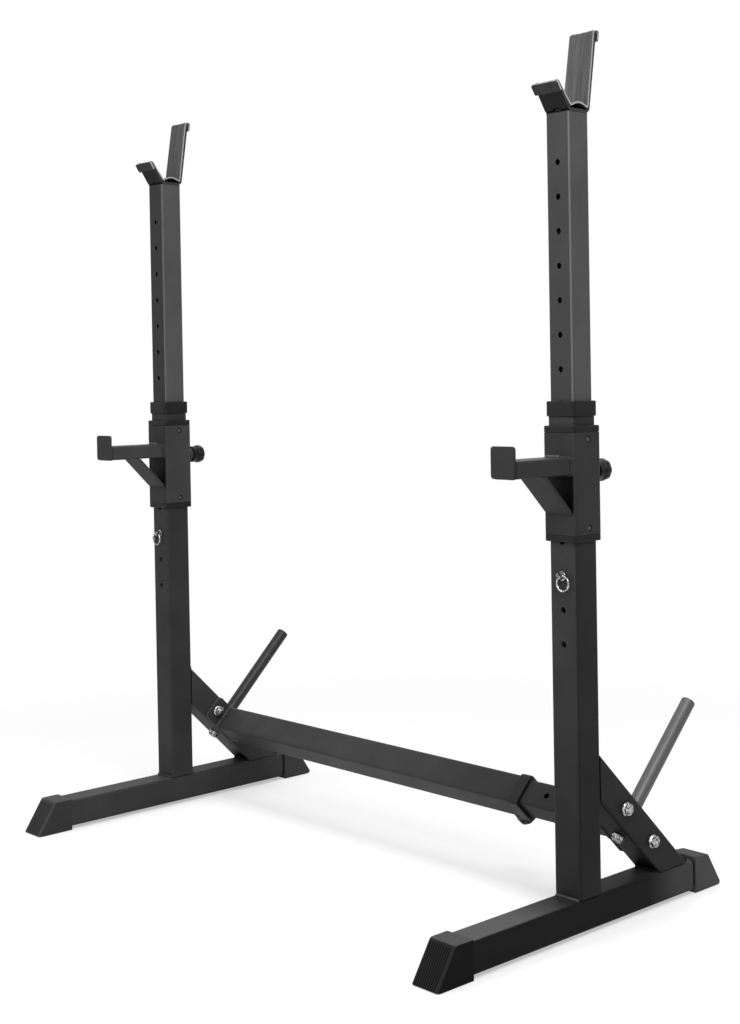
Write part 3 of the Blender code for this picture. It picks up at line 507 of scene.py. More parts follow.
def loft(rings, closed=False):
    """A mesh through rings of equally many points, capped at both ends or closed on itself."""
    mesh = bpy.data.meshes.new("loft")
    bm = bmesh.new()
    loops = [[bm.verts.new(point) for point in ring] for ring in rings]
    pairs = list(zip(loops, loops[1:]))
    if closed:
        pairs.append((loops[-1], loops[0]))
    for low, high in pairs:
        for i in range(len(low)):
            j = (i + 1) % len(low)
            bm.faces.new((low[i], low[j], high[j], high[i]))
    if not closed:
        bm.faces.new(loops[0])
        bm.faces.new(loops[-1])
    bmesh.ops.recalc_face_normals(bm, faces=bm.faces)
    bm.to_mesh(mesh)
    bm.free()
    return mesh


def rounded_rectangle(half_x, half_y, radius, steps=CORNER_STEPS):
    """Points round a rectangle with arcs at its corners, anticlockwise."""
    points = []
    for corner in range(4):
        sign_x = (1, -1, -1, 1)[corner]
        sign_y = (1, 1, -1, -1)[corner]
        for step in range(steps + 1):
            angle = math.radians(90 * (corner + step / steps))
            x = sign_x * (half_x - radius) + radius * math.cos(angle)
            y = sign_y * (half_y - radius) + radius * math.sin(angle)
            points.append((x, y))
    return points


def square_ring(half, radius, z):
    return [(x, y, z) for x, y in rounded_rectangle(half, half, radius)]


def circle(radius, z, steps=40):
    turns = [2 * math.pi * i / steps for i in range(steps)]
    return [(radius * math.cos(turn), radius * math.sin(turn), z) for turn in turns]


def rods(centres, radius, length, axis, steps=HOLE_STEPS):
    """Parallel cylinders in one mesh."""
    mesh = bpy.data.meshes.new("rods")
    bm = bmesh.new()
    turned = Vector((0, 0, 1)).rotation_difference(Vector(axis)).to_matrix().to_4x4()
    for centre in centres:
        placed = Matrix.Translation(centre) @ turned
        ends = []
        for end in (-length / 2, length / 2):
            ring = [placed @ Vector(point) for point in circle(radius, end, steps)]
            ends.append([bm.verts.new(point) for point in ring])
        for i in range(steps):
            j = (i + 1) % steps
            bm.faces.new((ends[0][i], ends[0][j], ends[1][j], ends[1][i]))
        bm.faces.new(ends[0][::-1])
        bm.faces.new(ends[1])
    bmesh.ops.recalc_face_normals(bm, faces=bm.faces)
    bm.to_mesh(mesh)
    bm.free()
    return mesh


def block(low, high):
    """A block between two corners."""
    corners = [(low[0], low[1]), (high[0], low[1]), (high[0], high[1]), (low[0], high[1])]
    return loft([[(x, y, z) for x, y in corners] for z in (low[2], high[2])])


print("points round a square", 4 * (CORNER_STEPS + 1), "and round a hole", HOLE_STEPS)

# %% [markdown]
# ## Holes and edges
# Holes are cut with a Boolean. Most pieces then get a Bevel, which rounds their sharp edges as
# paint and tooling do, and a Weighted Normal, which keeps large faces flat beside those edges.
# Welds, bolts, rings and springs have no sharp edges to round, so they go without.

# %% Holes and edges
def combined(mesh, tool, operation="DIFFERENCE"):
    """The mesh after a Boolean with the tool."""
    target = bpy.data.objects.new("target", mesh)
    cutter = bpy.data.objects.new("cutter", tool)
    for part in (target, cutter):
        bpy.context.collection.objects.link(part)
    step = target.modifiers.new("combine", "BOOLEAN")
    step.operation = operation
    step.solver = "EXACT"
    step.object = cutter
    shapes = bpy.context.evaluated_depsgraph_get()
    result = bpy.data.meshes.new_from_object(target.evaluated_get(shapes))
    bpy.data.objects.remove(target)
    bpy.data.objects.remove(cutter)
    return result


def moved(mesh, matrix):
    mesh.transform(matrix)
    return mesh


def finished(name, mesh, material, body, replaced=(), edge=0.0005, segments=2):
    """Shows a mesh as a piece of the rack: smooth, with rounded edges, on its body."""
    mesh.name = name
    mesh.materials.clear()
    mesh.materials.append(material)
    mesh.shade_smooth()
    piece = bpy.data.objects.new(name, mesh)
    bpy.context.collection.objects.link(piece)
    if edge:
        bevel = piece.modifiers.new("edges", "BEVEL")
        bevel.width = edge
        bevel.segments = segments
        bevel.limit_method = "ANGLE"
        bevel.angle_limit = math.radians(38)
        bevel.use_clamp_overlap = True
        weights = piece.modifiers.new("flat_faces", "WEIGHTED_NORMAL")
        weights.keep_sharp = False
        weights.weight = 80
    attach(piece, body)
    if replaced:
        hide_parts(*replaced)
    return piece


# %% [markdown]
# ## Where things stand
# These are the rack's own measures, in metres, the same as in its source. Each side's pieces
# share one set of axes at the foot of its upright. The crossbar, the braces and the pegs share
# a second set that is tilted by 45 degrees, with Y down the brace and Z along the peg.

# %% Measures
HALF_SPAN = 0.516
UPRIGHT_Y = -0.0040
HOLE_PITCH = 0.050
HOLE_RADIUS = 0.00475
WALL = 0.002
GAP = 0.0003
OUTER_TUBE = 0.050
INNER_TUBE = 0.045
SLEEVE_TUBE = 0.060
TUBE_CORNER = 0.0055
INNER_CORNER = 0.0035
SIDES = (("left", -1), ("right", 1))


def side_axes(sign):
    return Matrix.Translation((sign * HALF_SPAN, UPRIGHT_Y, 0))


CROSSBAR_Y = 0.1115
CROSSBAR_Z = 0.1365
ALONG_Y = Matrix.Rotation(math.radians(-90), 4, "X")
ALONG_X = Matrix.Rotation(math.radians(90), 4, "Y")


def brace_axes(x):
    place = Matrix.Translation((x, UPRIGHT_Y + CROSSBAR_Y, CROSSBAR_Z))
    return place @ Matrix.Rotation(math.radians(-45), 4, "X")


# %% [markdown]
# ## Square tubes
# A square tube is four rings: outside bottom, outside top, inside top, inside bottom, joined
# round. The rows of pin holes go through the front and rear walls, 50 mm apart.

# %% Square tubes
def tube_mesh(size_x, size_y, low, high):
    rings = []
    for inset, radius, ends in ((0, TUBE_CORNER, (low, high)), (WALL, INNER_CORNER, (high, low))):
        outline = rounded_rectangle(size_x / 2 - inset, size_y / 2 - inset, radius)
        rings += [[(x, y, z) for x, y in outline] for z in ends]
    return loft(rings, closed=True)


def hole_row(first, count, pitch=HOLE_PITCH):
    return [first + i * pitch for i in range(count)]


def holed_tube(size, low, high, holes):
    drill = rods([(0, 0, z) for z in holes], HOLE_RADIUS, 0.08, (0, 1, 0))
    return combined(tube_mesh(size, size, low, high), drill)


LEG_HEIGHT = 0.0475
LEG_MIDDLE = 0.02975
LEG_TOP = 0.0535
LEG_FRONT_END = -0.2697
LEG_REAR_END = 0.2432
OUTER_TOP = 0.771
INNER_TOP = 1.196
INNER_LENGTH = 0.810
LOWEST_OUTER_HOLE = 0.4237
OUTER_HOLES = 7
TOP_HOLE = 1.1237
INNER_HOLES = 15

for side, sign in SIDES:
    leg = moved(tube_mesh(OUTER_TUBE, LEG_HEIGHT, LEG_FRONT_END, LEG_REAR_END), ALONG_Y)
    leg = moved(leg, side_axes(sign) @ Matrix.Translation((0, 0, LEG_MIDDLE)))
    finished(
        side + "_leg_tube", leg, coat_leg[side], side + "_frame",
        [side + "_base_leg"],
    )
    outer_holes = hole_row(LOWEST_OUTER_HOLE, OUTER_HOLES)
    outer = holed_tube(OUTER_TUBE, LEG_TOP + GAP, OUTER_TOP, outer_holes)
    finished(
        side + "_outer_tube", moved(outer, side_axes(sign)), coat_outer[side], side + "_frame",
        [side + "_outer_upright"],
    )
    inner_holes = hole_row(TOP_HOLE, INNER_HOLES, -HOLE_PITCH)
    inner = holed_tube(INNER_TUBE, INNER_TOP - INNER_LENGTH, INNER_TOP, inner_holes)
    finished(
        side + "_inner_tube", moved(inner, side_axes(sign)), coat_inner[side], side + "_post",
        [side + "_inner_upright"],
    )
print("tubes on", [side for side, sign in SIDES])

# %% [markdown]
# ## Feet
# The front foot is a cap that slips over the leg, with ribs down its slanted toe. The rear foot
# is a plug: a groove shows where its body stops short of the tube, and its floor is painted
# dark as shade. Both are lofts of level slices, from the sole up.

# %% Feet
RIB_COUNT = 10
RIB_DEPTH = 0.0014
FRONT_FOOT_TOP = 0.0562
FRONT_FOOT_BACK = -0.245
REAR_FOOT_TOP = 0.0572
REAR_FOOT_FALL = 0.0030


def toe_slice(half_width, front, back, corner, ribs, z):
    """A level slice of the front foot. Ribs run across its toe, each with a flat top."""
    ring = []
    for step in range(9):
        angle = math.radians(180 + 90 * step / 8)
        x = -half_width + corner * (1 + math.cos(angle))
        ring.append((x, front + corner * (1 + math.sin(angle)), z))
    ribbed = half_width - corner - 0.001
    steps = 4 * RIB_COUNT
    for i in range(steps + 1):
        groove = ribs if i % 4 in (1, 2) else 0
        ring.append((-ribbed + 2 * ribbed * i / steps, front + groove, z))
    for step in range(9):
        angle = math.radians(270 + 90 * step / 8)
        x = half_width - corner * (1 - math.cos(angle))
        ring.append((x, front + corner * (1 + math.sin(angle)), z))
    ring.append((half_width, back - 0.001, z))
    ring.append((half_width - 0.001, back, z))
    ring.append((-half_width + 0.001, back, z))
    ring.append((-half_width, back - 0.001, z))
    return ring


def front_foot():
    top = FRONT_FOOT_TOP
    back = FRONT_FOOT_BACK
    half = OUTER_TUBE / 2 + 0.0012
    rings = [
        toe_slice(half - 0.0012, -0.3118, back, 0.006, 0, 0),
        toe_slice(half - 0.0003, -0.3134, back, 0.005, RIB_DEPTH * 0.4, 0.0007),
        toe_slice(half, -0.314, back, 0.0045, RIB_DEPTH, 0.0022),
        toe_slice(half, -0.2817, back, 0.0040, RIB_DEPTH, top - 0.0045),
        toe_slice(half, -0.2797, back, 0.0040, 0.0002, top - 0.0018),
        toe_slice(half - 0.0005, -0.2782, back, 0.0038, 0, top - 0.0005),
        toe_slice(half - 0.0012, -0.2760, back, 0.0035, 0, top),
    ]
    outline = rounded_rectangle(OUTER_TUBE / 2 + GAP, LEG_HEIGHT / 2 + GAP, TUBE_CORNER)
    socket = loft([[(x, y, z) for x, y in outline] for z in (-0.270, -0.225)])
    socket = moved(moved(socket, ALONG_Y), Matrix.Translation((0, 0, LEG_MIDDLE)))
    return combined(loft(rings), socket)


def heel_slice(half_width, front, back, corner, z, fall=0):
    """A slice of the rear foot: square at the tube, round behind, and lower there by the fall."""
    ring = [(half_width, front, z)]
    for first, sign in ((0, 1), (90, -1)):
        for step in range(11):
            angle = math.radians(first + 90 * step / 10)
            x = sign * (half_width - corner) + corner * math.cos(angle)
            ring.append((x, back - corner * (1 - math.sin(angle)), z))
    ring.append((-half_width, front, z))
    return [(x, y, z - fall * (y - front) / (back - front)) for x, y, z in ring]


def rear_foot():
    top = REAR_FOOT_TOP
    fall = REAR_FOOT_FALL
    half = OUTER_TUBE / 2 + 0.0005
    rings = [
        heel_slice(half - 0.0022, 0.2512, 0.3193, 0.012, 0),
        heel_slice(half - 0.0006, 0.2503, 0.3213, 0.0135, 0.0014),
        heel_slice(half, 0.250, 0.322, 0.014, 0.004),
        heel_slice(half, 0.250, 0.2858, 0.003, top - 0.0024, fall),
        heel_slice(half - 0.0004, 0.2502, 0.2850, 0.0028, top - 0.0009, fall),
        heel_slice(half - 0.0014, 0.2508, 0.2834, 0.0022, top, fall),
    ]
    return loft(rings)


def spigot_mesh():
    """The part of the plug inside the leg. It shows only as the floor of the groove, painted dark
    as shade.
    """
    play = 2 * WALL + 2 * GAP
    outline = rounded_rectangle((OUTER_TUBE - play) / 2, (LEG_HEIGHT - play) / 2, TUBE_CORNER)
    spigot = loft([[(x, y, z) for x, y in outline] for z in (0.220, 0.2515)])
    return moved(moved(spigot, ALONG_Y), Matrix.Translation((0, 0, LEG_MIDDLE)))


for side, sign in SIDES:
    finished(
        side + "_front_foot", moved(front_foot(), side_axes(sign)), plastic_toe[side],
        side + "_frame", [side + "_front_foot_cap"], edge=0.0003,
    )
    finished(
        side + "_rear_foot", moved(rear_foot(), side_axes(sign)), plastic_heel[side],
        side + "_frame", [side + "_rear_foot_cap"], edge=0.0003,
    )
    # The spigot takes the knobs' near-black plastic as painted shade in the groove.
    finished(
        side + "_rear_foot_spigot", moved(spigot_mesh(), side_axes(sign)), plastic_knob,
        side + "_frame", edge=0.0003,
    )
print("feet, with", RIB_COUNT, "ribs on each toe")

# %% [markdown]
# ## Collars and bushes
# Where one tube slides in another, a plastic ring closes the gap. The uprights' collar wraps
# the outer tube's mouth and has a lip over its end. The catch's bushes are snapped into the
# sleeve: each has a rim outside and two round nubs in the sleeve's side holes.

# %% Collars and bushes
COLLAR_WIDTH = 0.055
COLLAR_BOTTOM = 0.7553
COLLAR_TOP = 0.7778


def stepped_collar(width, low, step, high):
    half = width / 2
    wide = OUTER_TUBE / 2 + GAP
    narrow = INNER_TUBE / 2 + GAP
    edge = 0.0016
    return loft(
        [
            square_ring(half - edge, 0.0065, low),
            square_ring(half - edge * 0.3, 0.0068, low + edge * 0.3),
            square_ring(half, 0.007, low + edge),
            square_ring(half, 0.007, high - edge),
            square_ring(half - edge * 0.3, 0.0068, high - edge * 0.3),
            square_ring(half - edge, 0.0065, high),
            square_ring(narrow, TUBE_CORNER, high),
            square_ring(narrow, TUBE_CORNER, step),
            square_ring(wide, TUBE_CORNER, step),
            square_ring(wide, TUBE_CORNER, low),
        ],
        closed=True,
    )


SLEEVE_BOTTOM = 0.5835
SLEEVE_TOP = 0.732
BUSH_RIM = 0.0100
BUSH_SPIGOT = 0.020
NUB_HEIGHTS = {"top": 0.7218, "bottom": 0.5927}
NUB_Y = 0.003
NUB_RADIUS = 0.0036
SNAP_HOLE_RADIUS = 0.0052


def bush_mesh(seat, direction):
    """The rim sits outside the sleeve's end, the spigot inside it."""
    rim = SLEEVE_TUBE / 2
    opening = OUTER_TUBE / 2 + 0.0004
    spigot = rim - WALL - GAP
    edge = 0.0015
    start = seat + direction * GAP
    far = seat + direction * BUSH_RIM
    return loft(
        [
            square_ring(rim - 0.0005, TUBE_CORNER, start),
            square_ring(rim, TUBE_CORNER, start + direction * 0.0005),
            square_ring(rim, TUBE_CORNER, far - direction * edge),
            square_ring(rim - edge * 0.3, 0.0053, far - direction * edge * 0.3),
            square_ring(rim - edge, 0.005, far),
            square_ring(opening, TUBE_CORNER, far),
            square_ring(opening, TUBE_CORNER, seat - direction * BUSH_SPIGOT),
            square_ring(spigot, INNER_CORNER, seat - direction * BUSH_SPIGOT),
            square_ring(spigot, INNER_CORNER, start),
        ],
        closed=True,
    )


def nub_mesh(height):
    """Two round nubs, one in each side wall of the sleeve, that stop short of its outside."""
    root = 0.0265
    reach = SLEEVE_TUBE / 2 - 0.0010
    centres = [(end * (reach + root) / 2, NUB_Y, height) for end in (-1, 1)]
    return rods(centres, NUB_RADIUS, reach - root, (1, 0, 0))


for side, sign in SIDES:
    collar = stepped_collar(COLLAR_WIDTH, COLLAR_BOTTOM, OUTER_TOP + GAP, COLLAR_TOP)
    finished(
        side + "_collar", moved(collar, side_axes(sign)), plastic_collar, side + "_frame",
        [side + "_upright_collar"], edge=0.0003,
    )
    for end, seat, direction in (("top", SLEEVE_TOP, 1), ("bottom", SLEEVE_BOTTOM, -1)):
        bush = moved(bush_mesh(seat, direction), side_axes(sign))
        finished(
            side + "_" + end + "_bush", bush, plastic_collar, side + "_catch",
            [side + "_sleeve_bush_" + end], edge=0.0003,
        )
        nubs = moved(nub_mesh(NUB_HEIGHTS[end]), side_axes(sign))
        finished(
            side + "_" + end + "_bush_nubs", nubs, plastic_nub, side + "_catch",
            edge=0.0005,
        )
print("collars and bushes done")

# %% [markdown]
# ## Yokes
# A yoke is one plate, bent up into a low front flange and a tall rear one, and welded on the
# inner tube. It is drawn as a path in the side view, with an arc at each bend, given its
# thickness and pulled out across the width.

# %% Yokes
YOKE_WIDTH = 0.045
YOKE_STEEL = 0.004
YOKE_BEND = 0.007
SLOT_LOW = (-0.0075, -0.0322, 1.1980)
SLOT_HIGH = (0.0075, -0.0195, 1.2012)
FRONT_TOP = Vector((-0.0418, 1.2331))
FRONT_FOOT = Vector((-0.0191, 1.1983))
REAR_FOOT = Vector((0.0221, 1.1983))
REAR_TOP = Vector((0.0395, 1.3143))


def rounded_path(corners, radius, steps=8):
    """A path of (y, z) points whose inner corners are arcs."""
    path = [Vector(corners[0])]
    for before, corner, after in zip(corners, corners[1:], corners[2:]):
        back = (Vector(before) - corner).normalized()
        ahead = (Vector(after) - corner).normalized()
        half_angle = back.angle(ahead) / 2
        reach = min(
            radius / math.tan(half_angle),
            0.45 * (Vector(before) - corner).length,
            0.45 * (Vector(after) - corner).length,
        )
        centre = corner + (back + ahead).normalized() * reach / math.cos(half_angle)
        start = corner + back * reach - centre
        end = corner + ahead * reach - centre
        for step in range(steps + 1):
            arm = start.lerp(end, step / steps)
            path.append(centre + arm.normalized() * start.length)
    path.append(Vector(corners[-1]))
    return path


def strip_outline(path, thickness):
    """The outline of a strip of even thickness that follows a path."""
    sides = ([], [])
    for i, point in enumerate(path):
        along = (path[min(i + 1, len(path) - 1)] - path[max(i - 1, 0)]).normalized()
        across = Vector((-along.y, along.x)) * thickness / 2
        sides[0].append(point + across)
        sides[1].append(point - across)
    return sides[0] + sides[1][::-1]


def extruded(outline, width):
    return loft([[(x, y, z) for y, z in outline] for x in (-width / 2, width / 2)])


def yoke_mesh():
    path = rounded_path((FRONT_TOP, FRONT_FOOT, REAR_FOOT, REAR_TOP), YOKE_BEND)
    plate = extruded(strip_outline(path, YOKE_STEEL), YOKE_WIDTH)
    return combined(plate, block(SLOT_LOW, SLOT_HIGH))


for side, sign in SIDES:
    finished(
        side + "_bent_yoke", moved(yoke_mesh(), side_axes(sign)), coat_yoke, side + "_post",
        [side + "_yoke"], edge=0.0005,
    )
print("yokes reach up to", round(REAR_TOP.y, 4), "m")

# %% [markdown]
# ## Liners
# A grey plastic strip guards the bar's knurling. It hooks over both flanges with a thicker lip
# behind each, and bows up in an arch over the yoke's floor. Its middle line is offset from the
# steel's, so the two stay a hair apart.

# %% Liners
LINER_WIDTH = 0.0475
LINER = 0.0028
LINER_ARCH = 0.0060
LINER_FLOOR_LIFT = 0.0014
LINER_BEND = 0.0030
LIP_WIDTH = 0.0505
LIP_THICKNESS = 0.0034
LIP_LENGTH = 0.0165
LIP_CORNER = 0.0030


def flange_axes(foot, top):
    """Unit vectors up a flange and out through its back, and its top's middle."""
    up = (top - foot).normalized()
    outward = Vector((up.y, -up.x)) if up.x > 0 else Vector((-up.y, up.x))
    return up, outward, top


def liner_path(front, rear):
    shift = YOKE_STEEL / 2 + GAP + LINER / 2
    front_up, front_out, front_top = front
    rear_up, rear_out, rear_top = rear
    front_in = FRONT_FOOT - front_out * shift
    rear_in = REAR_FOOT - rear_out * shift
    floor = REAR_FOOT[1] + shift + LINER_FLOOR_LIFT
    front_corner = front_in + front_up * (floor - front_in.y) / front_up.y
    rear_corner = rear_in + rear_up * (floor - rear_in.y) / rear_up.y
    corners = [
        front_top + front_up * shift + front_out * shift,
        front_top + front_up * shift - front_out * shift,
        front_corner,
    ]
    span = rear_corner.x - front_corner.x
    for share in (i / 8 for i in range(1, 8)):
        rise = LINER_ARCH * math.sin(math.pi * share)
        corners.append(Vector((front_corner.x + span * share, floor + rise)))
    corners += [
        rear_corner,
        rear_top + rear_up * shift - rear_out * shift,
        rear_top + rear_up * shift + rear_out * shift,
    ]
    return rounded_path(corners, LINER_BEND, steps=5)


def lip_mesh(flange):
    up, outward, top = flange
    face = YOKE_STEEL / 2 + GAP
    half = LIP_THICKNESS / 2
    middle = top + up * (face + LINER - LIP_LENGTH / 2) + outward * (face + half)
    outline = rounded_rectangle(LIP_WIDTH / 2, LIP_LENGTH / 2, LIP_CORNER)
    plate = loft([[(x, y, z) for x, z in outline] for y in (-half, half)])
    tilt = Matrix.Rotation(-math.atan2(up.x, up.y), 4, "X")
    return moved(plate, Matrix.Translation((0, middle.x, middle.y)) @ tilt)


def dished_strip(path, rounding=0.0045, dish=0.0006, steps=14):
    """A strip along a path, hollow along its middle, with round corners at its folds."""
    rings = []
    for i, point in enumerate(path):
        along = (path[min(i + 1, len(path) - 1)] - path[max(i - 1, 0)]).normalized()
        across = Vector((-along.y, along.x))
        flange_top = FRONT_TOP.y if point.x < 0 else REAR_TOP.y
        rise = min(max(point.y - flange_top + 0.0018, 0.0), rounding)
        inset = rounding - math.sqrt(rounding ** 2 - rise ** 2)
        half = LINER_WIDTH / 2 - inset
        shares = [2 * step / steps - 1 for step in range(steps + 1)]
        inner = [(share * half, LINER / 2 - dish * (1 - share ** 4)) for share in shares]
        outer = [(share * half, -LINER / 2) for share in reversed(shares)]
        rings.append([(x, *(point + across * offset)) for x, offset in inner + outer])
    return loft(rings)


def liner_mesh():
    front = flange_axes(FRONT_FOOT, FRONT_TOP)
    rear = flange_axes(REAR_FOOT, REAR_TOP)
    strip = dished_strip(liner_path(front, rear))
    for flange in (front, rear):
        strip = combined(strip, lip_mesh(flange), "UNION")
    return strip


for side, sign in SIDES:
    finished(
        side + "_liner", moved(liner_mesh(), side_axes(sign)), plastic_liner, side + "_post",
        [side + "_yoke_liner"], edge=0.0006, segments=3,
    )
print("liners arch up by", round(LINER_ARCH * 1000, 1), "mm")

# %% [markdown]
# ## Safety catches
# A sleeve slides on each upright. A flat tube reaches forward from it, a plate closes the
# tube's end and stops a bar from rolling off, and a strip at 45 degrees props it from below.

# %% Safety catches
ARM_WIDTH = 0.049
ARM_TOP = 0.6965
ARM_DEPTH = 0.0253
ARM_REACH = 0.1430
END_PLATE_HALF_WIDTH = 0.02225
END_PLATE_BOTTOM = 0.671
END_PLATE_TOP = 0.717
PLATE = 0.005
GUSSET_REACH = 0.0577
GUSSET_PLATE = 0.0045
PLUNGER_HEIGHT = LOWEST_OUTER_HOLE + 5 * HOLE_PITCH


def sleeve_mesh():
    tube = tube_mesh(SLEEVE_TUBE, SLEEVE_TUBE, SLEEVE_BOTTOM, SLEEVE_TOP)
    tube = combined(tube, rods([(0, 0.03, PLUNGER_HEIGHT)], HOLE_RADIUS, 0.03, (0, 1, 0)))
    centres = [(0, NUB_Y, z) for z in NUB_HEIGHTS.values()]
    snap_holes = rods(centres, SNAP_HOLE_RADIUS, 0.08, (1, 0, 0))
    return combined(tube, snap_holes)


def arm_mesh():
    half_height = ARM_DEPTH / 2
    start = SLEEVE_TUBE / 2 + GAP
    rings = []
    for y, inset, radius in (
        (-start, 0, 0.003),
        (-ARM_REACH, 0, 0.003),
        (-ARM_REACH, WALL, 0.0015),
        (-start, WALL, 0.0015),
    ):
        outline = rounded_rectangle(ARM_WIDTH / 2 - inset, half_height - inset, radius, steps=5)
        rings.append([(x, y, z + ARM_TOP - half_height) for x, z in outline])
    return loft(rings, closed=True)


def end_plate_mesh():
    middle = (END_PLATE_BOTTOM + END_PLATE_TOP) / 2
    half_height = (END_PLATE_TOP - END_PLATE_BOTTOM) / 2
    outline = rounded_rectangle(END_PLATE_HALF_WIDTH, half_height, 0.005)
    front = -ARM_REACH - GAP
    return loft([[(x, y, z + middle) for x, z in outline] for y in (front, front - PLATE)])


def gusset_mesh():
    top = ARM_TOP - ARM_DEPTH - GAP
    face = -SLEEVE_TUBE / 2 - GAP
    skew = GUSSET_PLATE * math.sqrt(2)
    outline = [
        (face - GUSSET_REACH, top),
        (face, top - GUSSET_REACH),
        (face, top - GUSSET_REACH + skew),
        (face - GUSSET_REACH + skew, top),
    ]
    return extruded(outline, ARM_WIDTH)


for side, sign in SIDES:
    for name, mesh, finish, replaced in (
        ("_sleeve", sleeve_mesh(), coat_sleeve[side], "_catch_sleeve"),
        ("_arm", arm_mesh(), coat_catch[side], "_catch_arm"),
        ("_bar_stop", end_plate_mesh(), coat_catch[side], "_arm_end_plate"),
        ("_gusset", gusset_mesh(), coat_catch[side], "_arm_gusset"),
    ):
        finished(
            side + name, moved(mesh, side_axes(sign)), finish, side + "_catch",
            [side + replaced],
        )
print("catches done")

# %% [markdown]
# ## Spring plungers
# A plunger is a turned boss, a pin inside it, and a fluted knob on the pin's stem. All three
# are turned on one axis. The knob's flutes are a cosine round its rim.

# %% Spring plungers
STEM_RADIUS = 0.0028
PIN_RADIUS = 0.0044
SHOULDER_RADIUS = 0.0066
SHOULDER = 0.0018
BOSS_RADIUS = 0.013
BOSS_CHAMBER_RADIUS = 0.0072
BOSS_END_WALL = 0.0022
KNOB_RECESS_RADIUS = 0.0134
KNOB_RECESS = 0.0097
KNOB_LENGTH = 0.0262
KNOB_LOBES = 8
KNOB_STEPS = 96
CROSSBAR_PLUNGER_X = 0.2686
CROSSBAR_BOSS = 0.0306


def boss_mesh(length):
    chamber = length - BOSS_END_WALL
    return loft(
        [
            circle(BOSS_CHAMBER_RADIUS, GAP),
            circle(BOSS_CHAMBER_RADIUS, chamber),
            circle(STEM_RADIUS + 0.0004, chamber),
            circle(STEM_RADIUS + 0.0004, length),
            circle(0.0122, length),
            circle(BOSS_RADIUS, length - 0.0008),
            circle(BOSS_RADIUS, GAP),
        ],
        closed=True,
    )


def pin_mesh(reach, boss_length, drawn):
    start = drawn + 0.001
    return loft(
        [
            circle(PIN_RADIUS - 0.0012, drawn - reach),
            circle(PIN_RADIUS, drawn - reach + 0.0015),
            circle(PIN_RADIUS, start),
            circle(SHOULDER_RADIUS, start),
            circle(SHOULDER_RADIUS, start + SHOULDER),
            circle(STEM_RADIUS, start + SHOULDER),
            circle(STEM_RADIUS, drawn + boss_length + 0.007),
        ]
    )


def fluted(radius, depth, z, steps=KNOB_STEPS):
    """A circle that dips between the grip lobes."""
    ring = []
    for i in range(steps):
        turn = 2 * math.pi * i / steps
        dip = (0.5 - 0.5 * math.cos(KNOB_LOBES * turn)) ** 1.5
        reach = radius - depth * dip
        ring.append((reach * math.cos(turn), reach * math.sin(turn), z))
    return ring


def knob_mesh(boss_length, drawn):
    floor = drawn + boss_length + 0.001
    rim = floor - KNOB_RECESS
    end = rim + KNOB_LENGTH
    bore = STEM_RADIUS + GAP
    return loft(
        [
            circle(bore, floor + 0.0063, KNOB_STEPS),
            circle(bore, floor, KNOB_STEPS),
            circle(KNOB_RECESS_RADIUS, floor, KNOB_STEPS),
            circle(KNOB_RECESS_RADIUS, rim, KNOB_STEPS),
            circle(0.0151, rim, KNOB_STEPS),
            circle(0.0154, rim + 0.0006, KNOB_STEPS),
            circle(0.0154, rim + 0.0102, KNOB_STEPS),
            circle(0.0150, rim + 0.0110, KNOB_STEPS),
            fluted(0.0162, 0.0003, rim + 0.0118),
            fluted(0.0170, 0.0008, rim + 0.0130),
            fluted(0.0170, 0.0010, end - 0.0066),
            fluted(0.0166, 0.0009, end - 0.0044),
            fluted(0.0154, 0.0006, end - 0.0024),
            fluted(0.0134, 0.0003, end - 0.0011),
            circle(0.0105, end - 0.0004, KNOB_STEPS),
            circle(0.0070, end, KNOB_STEPS),
            circle(0.0030, end, KNOB_STEPS),
        ]
    )


def plunger(prefix, axes, body_of_boss, body_of_knob, boss_length, reach, drawn):
    finished(
        prefix + "_turned_boss", moved(boss_mesh(boss_length), axes), coat_bar, body_of_boss,
        [prefix + "_boss"], edge=0.0003,
    )
    finished(
        prefix + "_turned_pin", moved(pin_mesh(reach, boss_length, drawn), axes), zinc,
        body_of_knob, [prefix + "_pin"], edge=0.0002,
    )
    finished(
        prefix + "_fluted_knob", moved(knob_mesh(boss_length, drawn), axes), plastic_knob,
        body_of_knob, [prefix + "_knob"], edge=0.0002,
    )


for side, sign in SIDES:
    place = Matrix.Translation((0, SLEEVE_TUBE / 2, PLUNGER_HEIGHT))
    plunger(
        side + "_plunger", side_axes(sign) @ place @ ALONG_Y, side + "_catch", side + "_plunger",
        boss_length=0.018, reach=0.0137, drawn=0.009,
    )
place = Matrix.Translation((CROSSBAR_PLUNGER_X, OUTER_TUBE / 2, 0))
plunger(
    "crossbar_plunger", brace_axes(0) @ place @ ALONG_Y, "left_frame", "crossbar_plunger",
    boss_length=CROSSBAR_BOSS, reach=0.010, drawn=0,
)
for name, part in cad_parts.items():
    if name in ("left_plunger_spring", "right_plunger_spring"):
        part.data.materials.clear()
        part.data.materials.append(spring_wire)
print("plungers done, with", KNOB_LOBES, "flutes on each knob")

# %% [markdown]
# ## Locking pins
# A chromed pin goes through both tubes and carries the inner one. A ring of wire hangs in the
# eye at its head.

# %% Locking pins
EYE_Y = -0.0305
EYE_RADIUS = 0.0026
LOCK_PIN_HEAD = 0.002
LOCK_PIN_HEAD_RADIUS = 0.007
LOCK_PIN_TAIL = 0.029
LOCK_HEIGHT = LOWEST_OUTER_HOLE + 2 * HOLE_PITCH
RING_ROLL = math.radians(26)


